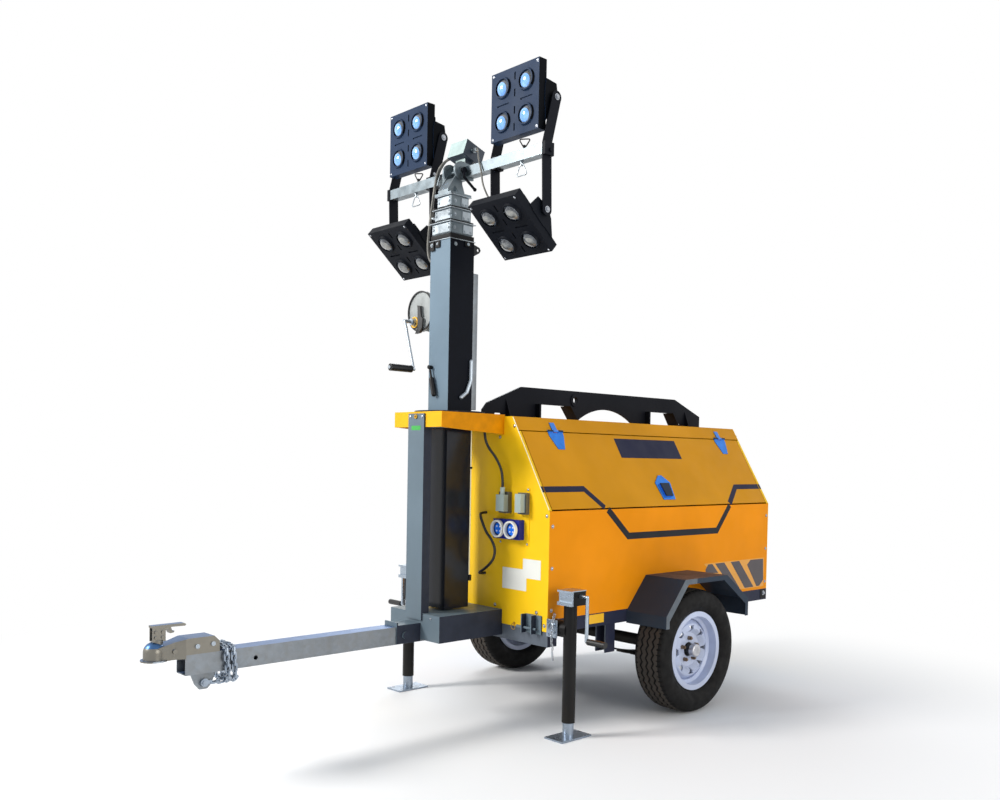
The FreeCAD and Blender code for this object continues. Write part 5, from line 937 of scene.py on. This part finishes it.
def rounded_block(low, high, edge, along=2):
    """A box with rounded corners in its section, which runs along one axis, its two ends drawn in."""
    low = np.array(low, float)
    high = np.array(high, float)
    a, b = [axis for axis in range(3) if axis != along]
    quarter = np.linspace(0, np.pi / 2, 4)
    corner = np.stack([np.cos(quarter), np.sin(quarter)], axis=1)
    rings = []
    for level, inset in ((low[along], edge), (low[along] + edge, 0), (high[along] - edge, 0),
                         (high[along], edge)):
        loop = []
        for turn, (sa, sb) in enumerate(((1, 1), (-1, 1), (-1, -1), (1, -1))):
            arc = (corner * [sa, sb])[::-1 if turn % 2 else 1]
            middle = [(high[a] if sa > 0 else low[a]) - sa * edge,
                      (high[b] if sb > 0 else low[b]) - sb * edge]
            loop.append(middle + arc * max(edge - inset, edge * 0.3))
        ring = np.zeros((16, 3))
        ring[:, [a, b]] = np.concatenate(loop)
        ring[:, along] = level
        rings.append(ring)
    return shell_of(np.stack(rings))


mast_x = 1038.0
slide_black = paint("slide_nylon", (0.04, 0.04, 0.05), 0.5, coat=0.0, gloss=0.2, dust=0.05)
collar_zinc = bare_metal("collar_zinc", (0.68, 0.72, 0.75), 0.30, spangle=0.15, metal=0.85, dust=0.15)


def plate_frame(half, reach, low, high):
    """Four bars with broken edges round a square tube of that half width."""
    outer = half + reach
    return [rounded_block(at(mast_x - outer, half, low), at(mast_x + outer, outer, high), 0.0012, 0),
            rounded_block(at(mast_x - outer, -outer, low), at(mast_x + outer, -half, high), 0.0012, 0),
            rounded_block(at(mast_x + half, -half, low), at(mast_x + outer, half, high), 0.0012, 1),
            rounded_block(at(mast_x - outer, -half, low), at(mast_x - half, half, high), 0.0012, 1)]


for body, top, half in (("stage_1", 2345.0, 67.5), ("stage_2", 2409.0, 59.5), ("stage_3", 2473.0, 51.5)):
    bright = plate_frame(half, 11, top - 4, top)
    for y in (-half + 13, half - 13):
        bright.append(hex_bolt(at(mast_x + half + 3, y, top - 30), (1, 0, 0), 0.0055))
        bright.append(hex_bolt(at(mast_x + half + 3, y, top - 14), (1, 0, 0), 0.0035))
    front_plate = rounded_block(at(mast_x + half, -half + 4, top - 50),
                                at(mast_x + half + 3, half - 4, top - 8), 0.0008, 0)
    bright.append(front_plate)
    for side in (-1, 1):
        low, high = sorted((side * half, side * (half + 4)))
        bright.append(rounded_block(at(mast_x - half + 8, low, top - 49), at(mast_x - 6, high, top - 9),
                                    0.0010, 1))
        for x in (mast_x - half + 16, mast_x - 16):
            bright.append(hex_bolt(at(x, side * (half + 4), top - 40), (0, side, 0), 0.0045))
        bright.append(hex_bolt(at(mast_x + half - 22, side * half, top - 28), (0, side, 0), 0.006))
    gathered("collar_plates_" + body, bright, collar_zinc, body)
    slides = []
    for y in (-half + 8, 0, half - 8):
        slides.append(rounded_block(at(mast_x + half, y - 9, top), at(mast_x + half + 9, y + 9, top + 7),
                                    0.001, 0))
    for side in (-1, 1):
        low, high = sorted((side * half, side * (half + 8)))
        for x in (mast_x - half + 14, mast_x + half - 22):
            slides.append(rounded_block(at(x - 10, low, top), at(x + 10, high, top + 7), 0.001, 1))
    gathered("collar_slides_" + body, slides, slide_black, body)
mast_half = 72.5
slides = [rounded_block(at(mast_x + mast_half, -66, 2216), at(mast_x + mast_half + 9, -38, 2262), 0.0015, 0),
          rounded_block(at(mast_x + mast_half, -30, 2228), at(mast_x + mast_half + 7, 2, 2262), 0.0015, 0),
          rounded_block(at(mast_x - 50, mast_half, 2236), at(mast_x - 14, mast_half + 6, 2261), 0.0015, 1),
          rounded_block(at(mast_x - 50, -mast_half - 6, 2236), at(mast_x - 14, -mast_half, 2261), 0.0015, 1)]
gathered("mast_slides", slides, slide_black, "mast")
gathered("wiper_mast", plate_frame(65, 7, 2265, 2288), slide_black, "mast")
gathered("wiper_stage_1", plate_frame(57, 7, 2345, 2356), slide_black, "stage_1")
gathered("wiper_stage_2", plate_frame(49, 7, 2409, 2420), slide_black, "stage_2")
bright = plate_frame(mast_half, 5, 2261, 2265)
bright += [hex_bolt(at(mast_x + mast_half + 9, -52, 2242), (1, 0, 0), 0.006),
           hex_bolt(at(mast_x + mast_half + 7, -14, 2246), (1, 0, 0), 0.004)]
for side in (-1, 1):
    bright.append(hex_bolt(at(mast_x - 32, side * (mast_half + 6), 2248), (0, side, 0), 0.005))
    bright.append(hex_bolt(at(mast_x + 40, side * mast_half, 2240), (0, side, 0), 0.006))
gathered("mast_top_plates", bright, collar_zinc, "mast")

# Conduit on the mast's rear near corner: a pale tube from the collar down,
# held by two black clamps on the mast.


def smooth_path(points, steps=8):
    """A soft curve through the points: each span is a cubic whose ends lean along its neighbours."""
    points = np.array(points, float)
    padded = np.concatenate([[2 * points[0] - points[1]], points, [2 * points[-1] - points[-2]]])
    t = np.linspace(0, 1, steps, endpoint=False)[None, :, None]
    a, b, c, d = (padded[i:len(padded) - 3 + i][:, None] for i in range(4))
    square = 2 * a - 5 * b + 4 * c - d
    cube = 3 * b - a - 3 * c + d
    curve = 0.5 * (2 * b + (c - a) * t + square * t ** 2 + cube * t ** 3)
    return np.concatenate([curve.reshape(-1, 3), points[-1:]])


lead_x = mast_x - mast_half - 7
lead = smooth_path([at(lead_x, 66, 1378), at(lead_x, 66, 1200), at(lead_x - 1, 66, 980), at(lead_x, 66, 800),
                    at(lead_x, 66, 672)], 6)
gathered("mast_conduit", [wire(lead, 0.0046, 12)], pale_edge, "mast", 60.0)
clamps = [rounded_block(at(lead_x - 8, 55, 664), at(mast_x - mast_half, 78, 692), 0.002, 2),
          rounded_block(at(lead_x - 6, 58, 1196), at(mast_x - mast_half, 74, 1206), 0.0015, 2)]
gathered("conduit_clamp", clamps, slide_black, "mast")

# Edge strip: a pale strip down the far edge of the mast's front face, between the collar and the base,
# held by four small screws. It is a painted highlight, a line of light along that edge.
strip_face = mast_x + mast_half + 2.5
strip = [rounded_block(at(mast_x + mast_half, -70, 640), at(strip_face, -62, 1368), 0.0008, 2)]
strip += [cap_screw(at(strip_face, -66, z), (1, 0, 0), 0.0028) for z in (660, 890, 1120, 1350)]
gathered("mast_edge_highlight_strip", strip, pale_edge, "mast")

# Rear rail of the mast: two folded flanges of galvanised plate on the mast's rear face,
# which guide the hoist wire.
flange = rounded_block(at(932, 56, 1476), at(mast_x - mast_half + 0.5, 68, 2120), 0.002, 2)
gathered("mast_rear_flanges", mirrored_pair(flange), galvanised, "mast")

# Wire loops on the light bar for its guy lines: bent steel wire, black above and bright below.
# Each is held by a bolt on the bar.


def rounded_loop(corners, cut=0.24, steps=5):
    """A closed path through the corners, each rounded by a short curve between points on its two sides."""
    corners = np.array(corners, float)
    path = []
    t = np.linspace(0, 1, steps)[:, None]
    for index, here in enumerate(corners):
        start = here + (corners[index - 1] - here) * cut
        end = here + (corners[(index + 1) % len(corners)] - here) * cut
        path.append((1 - t) ** 2 * start + 2 * t * (1 - t) * here + t * t * end)
    return np.concatenate(path)


bar_x = 978.0
bar_top = 2617.0
bar_bottom = 2569.0
bolt_x = bar_x + 6
upper_bolt = [(0.010, 0), (0.010, 0.004), (0.0055, 0.005), (0.0055, 0.013), (0.0075, 0.014), (0.0075, 0.020),
              (0.004, 0.022)]
lower_bolt = [(0.010, 0), (0.010, 0.004), (0.0055, 0.005), (0.0055, 0.012), (0.0080, 0.013), (0.0080, 0.019),
              (0.004, 0.020)]
upper_loops = []
lower_loops = []
for y, low_y in ((-342, -358), (422, 408)):
    corners = [at(bolt_x, y - 4, bar_top + 12), at(bolt_x, y + 10, bar_top + 12),
               at(bolt_x, y + 40, bar_top + 40), at(bolt_x, y - 34, bar_top + 54)]
    upper_loops.append(wire(rounded_loop(corners), 0.0028, 8, True))
    upper_loops.append(lathe(upper_bolt, at(bolt_x, y, bar_top), (0, 0, 1), 14))
    corners = [at(bolt_x, low_y - 8, bar_bottom - 10), at(bolt_x, low_y + 8, bar_bottom - 10),
               at(bolt_x, low_y + 36, bar_bottom - 62), at(bolt_x, low_y - 36, bar_bottom - 62)]
    lower_loops.append(wire(rounded_loop(corners), 0.0028, 8, True))
    lower_loops.append(lathe(lower_bolt, at(bolt_x, low_y, bar_bottom), (0, 0, -1), 14))
gathered("bar_loops_upper", upper_loops, slide_black, "crossbar", 60.0)
gathered("bar_loops_lower", lower_loops, collar_zinc, "crossbar", 60.0)

# Leads at the head: a pale rubber lead from each gland of the junction box, in front of the bar, clipped to
# the inner yoke arm, and a short black one at each arm below the bar. Each gland is a nut with a dome.
gland_profile = [(0.013, 0), (0.013, 0.006), (0.0105, 0.007), (0.0105, 0.016), (0.007, 0.021)]
leads = []
glands = []
for side in (-1, 1):
    path = [at(head_x, side * 71, head_z), at(978, side * 96, 2695), at(992, side * 120, 2672),
            at(1006, side * 140, 2634), at(1012, side * 166, 2573), at(1012, side * 180, 2510),
            at(1002, side * 200, 2456), at(984, side * 217, 2420)]
    leads.append(wire(smooth_path(path), 0.0042, 10))
    glands.append(lathe(gland_profile, at(head_x, side * 70, head_z), (0, side, 0), 6))
    glands.append(rounded_block(at(974, side * 216 - 5, 2412), at(996, side * 216 + 6, 2424), 0.0015, 2))
gathered("head_leads", leads, pale_rubber, "crossbar", 60.0)
gathered("head_glands", glands, collar_zinc, "crossbar")
short_leads = []
for side in (-1, 1):
    path = [at(956, side * 220, 2566), at(950, side * 204, 2556), at(946, side * 192, 2528),
            at(948, side * 198, 2498), at(956, side * 212, 2482), at(960, side * 220, 2478)]
    short_leads.append(wire(smooth_path(path), 0.0042, 10))
gathered("yoke_leads", short_leads, slide_black, "crossbar", 60.0)

# Pivot bolts of the lamps: zinc-plated hexagon heads on washers at the yoke tips,
# and two cap screws on each inner yoke arm beside the light bar.
bolts = []
for pivot_x, pivot_z in ((924, 2831), (971, 2335)):
    for side in (-1, 1):
        bolts.append(hex_bolt(at(pivot_x, side * 561, pivot_z), (0, side, 0), 0.0095))
        bolts.append(hex_bolt(at(pivot_x, side * 222, pivot_z), (0, -side, 0), 0.0095))
for side in (-1, 1):
    for z in (2640, 2546):
        bolts.append(cap_screw(at(bar_x, side * 222, z), (0, -side, 0), 0.006))
gathered("pivot_bolts", bolts, bright_bolt, "crossbar")

# Screws in the lamp faces: zinc-plated cap screws, one near each corner of a lamp's front plate.
# They are laid out on an upright lamp and turned with it about its pivot.
for name, pivot_x, pivot_z, tilt in (("upper", 924, 2831, 0.0), ("lower", 971, 2335, lower_tilt)):
    for side_name, side in (("left", 1), ("right", -1)):
        heads = []
        for dy in (-141, 141):
            for dz in (-141, 141):
                screw_place = at(pivot_x + 92, side * (388 + dy), pivot_z + dz)
                points, faces = cap_screw(screw_place, (1, 0, 0), 0.0045)
                off = points - at(pivot_x, 0, pivot_z)
                turned = off @ np.array(Matrix.Rotation(tilt, 3, "Y")).T
                heads.append((turned + at(pivot_x, 0, pivot_z), faces))
        gathered("lamp_screws_%s_%s" % (name, side_name), heads, bright_bolt,
                 "lamp_%s_%s" % (name, side_name))

# Ring of the winch: a small yellow painted ring on the front of its geared cover.
# It rides with the mast.
ring_yellow = paint("ring_yellow", (0.95, 0.72, 0.10), 0.4, coat=0.1, dust=0.02)
ring_profile = [(0.027, -0.002), (0.027, 0.0022), (0.0255, 0.0032), (0.0215, 0.0032), (0.0205, 0.002),
                (0.0205, -0.002)]
ring = lathe(ring_profile, at(1093, -212, 1900), (1, 0, 0), 32)
gathered("winch_ring", [ring], ring_yellow, "mast")

# Pins of the sockets: four pale pins with rounded tips on a circle in the blue insert of each socket.
# They are fixed in the insert.
socket_pin = [(0.0042, 0), (0.0042, 0.002), (0.0030, 0.0032), (0.0008, 0.0036)]
pins = []
for y in (195, 285):
    for turn_share in (0.125, 0.375, 0.625, 0.875):
        angle = 2 * np.pi * turn_share
        pin_place = at(889, y + 15 * np.cos(angle), 918 + 15 * np.sin(angle))
        pins.append(lathe(socket_pin, pin_place, (1, 0, 0), 12))
pin_white = paint("pin_white", (0.88, 0.90, 0.93), 0.35, coat=0.1, dust=0.02)
gathered("socket_pins", pins, pin_white, "chassis", 50.0)

# Blank plates: a white and a smaller white one on the front sheet, a navy one high on each door,
# a green one on the post and a yellow one on the frame rail. All of them are bare self-adhesive film.


def flat_plate(name, corners, finish, body):
    """Four corners in metres as one sheet of film."""
    corners = np.array(corners, float)
    surface(name, np.stack([corners[:2], corners[[3, 2]]]), finish, body)


panel_share = 0.226
plate_white = paint("plate_white", (0.90, 0.90, 0.87), 0.35, coat=0.1, dust=0.04)
plate_green = paint("plate_green", (0.20, 0.62, 0.25), 0.4, coat=0.1, dust=0.04)
for name, x, low_y, high_y, low_z, high_z in (("plate_front_low", 846.7, 183, 347, 634, 734),
                                              ("plate_front_high", 847.0, 322, 440, 695, 785)):
    corners = [at(x, low_y, high_z), at(x, high_y, high_z), at(x, high_y, low_z), at(x, low_y, low_z)]
    flat_plate(name, corners, plate_white, "chassis")
corners = [at(1236.5, -34, 1392), at(1236.5, 34, 1392), at(1236.5, 34, 1372), at(1236.5, -34, 1372)]
flat_plate("post_plate_green", corners, plate_green, "chassis")
for side_name, flipped in (("left", False), ("right", True)):
    panel = slope_band([(178, 0.314), (-329, 0.314)], panel_share * slope_mm / 2)
    surface("door_panel_" + side_name, panel, navy, "door_" + side_name, flipped)
corners = [at(564, 488.6, 513), at(459, 488.6, 513), at(459, 488.6, 470), at(564, 488.6, 470)]
flat_plate("rail_label", corners, ring_yellow, "chassis")

# Ends of the frame rail: a black steel end plate on each side at the rear,
# held by one bright hexagon bolt.
ends = []
end_bolts = []
for side in (-1, 1):
    low, high = sorted((side * 488, side * 490.5))
    ends.append(rounded_block(at(-964, low, 462), at(-908, high, 514), 0.001, 1))
    end_bolts.append(hex_bolt(at(-936, side * 490.5, 494), (0, side, 0), 0.009))
gathered("rail_ends", ends, slide_black, "chassis")
gathered("rail_end_bolts", end_bolts, bright_bolt, "chassis")

# Pin chains of the jacks: small steel links hanging from the swivel plate, the pull pin at the lower end.
# The zinc keeper plate beside each chain has two bolts and a turned boss.
link_count = 12
pin_profile = [(0.0035, -0.022), (0.0045, -0.018), (0.0045, 0.018), (0.0035, 0.022)]
chain_parts = []
for side in (-1, 1):
    start = np.array([852.0, 540.0, 556.0])
    end = np.array([862.0, 540.0, 392.0])
    for index in range(link_count):
        share = (index + 0.5) / link_count
        middle = start + (end - start) * share + np.array([14 * np.sin(np.pi * share), 0, 0])
        long_way = np.array([0, 0, 9.6])
        wide = np.array([5.0, 0, 0]) if index % 2 else np.array([0, 5.0, 0])
        angle = np.linspace(0, 2 * np.pi, 12, endpoint=False)[:, None]
        blunt = np.sign(np.sin(angle)) * np.abs(np.sin(angle)) ** 0.8
        link = middle + blunt * long_way + np.cos(angle) * wide
        link[:, 1] *= side
        chain_parts.append(wire(np.array([at(*point) for point in link]), 0.0019, 6, True))
    chain_parts.append(lathe(pin_profile, at(862, side * 540, 366), (0.15, 0, 1), 12))
boss_profile = [(0.024, 0), (0.024, 0.005), (0.021, 0.0065), (0.012, 0.0065), (0.011, 0.002)]
keepers = []
for side in (-1, 1):
    low, high = sorted((side * 489, side * 556))
    keepers.append(rounded_block(at(849, low, 446), at(853, high, 528), 0.0015, 0))
    for z in (516, 458):
        keepers.append(hex_bolt(at(853, side * 502, z), (1, 0, 0), 0.006))
    keepers.append(lathe(boss_profile, at(853, side * 528, 486), (1, 0, 0), 28))
gathered("jack_keeper_plates", keepers, zinc, "chassis")
gathered("jack_pin_chains", chain_parts, bright_bolt, "chassis", 60.0)

# The floor: a plain pale sheet, far larger than the light tower. Further out it is seen as pure white,
# like the surround.
floor_mesh = bpy.data.meshes.new("studio_floor")
floor_mesh.from_pydata([(-60, -60, 0), (60, -60, 0), (60, 60, 0), (-60, 60, 0)], [], [(0, 1, 2, 3)])
floor = bpy.data.objects.new("studio_floor", floor_mesh)
bpy.context.scene.collection.objects.link(floor)
floor_finish, links, shader, place = new_finish("studio_floor")
nodes = floor_finish.node_tree.nodes
shader.inputs["Base Color"].default_value = (0.90, 0.90, 0.90, 1)
shader.inputs["Roughness"].default_value = 0.9
far_white = nodes.new("ShaderNodeEmission")
far_white.inputs["Color"].default_value = (1, 1, 1, 1)
distance = nodes.new("ShaderNodeVectorMath")
distance.operation = "LENGTH"
links.new(place, distance.inputs[0])
fade = nodes.new("ShaderNodeMapRange")
fade.interpolation_type = "SMOOTHSTEP"
fade.inputs["From Min"].default_value = 1.6
fade.inputs["From Max"].default_value = 3.6
links.new(distance.outputs["Value"], fade.inputs["Value"])
seen = nodes.new("ShaderNodeLightPath")
seen_far = times(worked("MAXIMUM", seen.outputs["Is Camera Ray"], seen.outputs["Is Glossy Ray"]),
                 fade.outputs["Result"])
floor_mix = nodes.new("ShaderNodeMixShader")
links.new(seen_far, floor_mix.inputs["Fac"])
links.new(shader.outputs[0], floor_mix.inputs[1])
links.new(far_white.outputs[0], floor_mix.inputs[2])
links.new(floor_mix.outputs[0],
          next(node for node in nodes if node.type == "OUTPUT_MATERIAL").inputs["Surface"])
floor_mesh.materials.append(floor_finish)
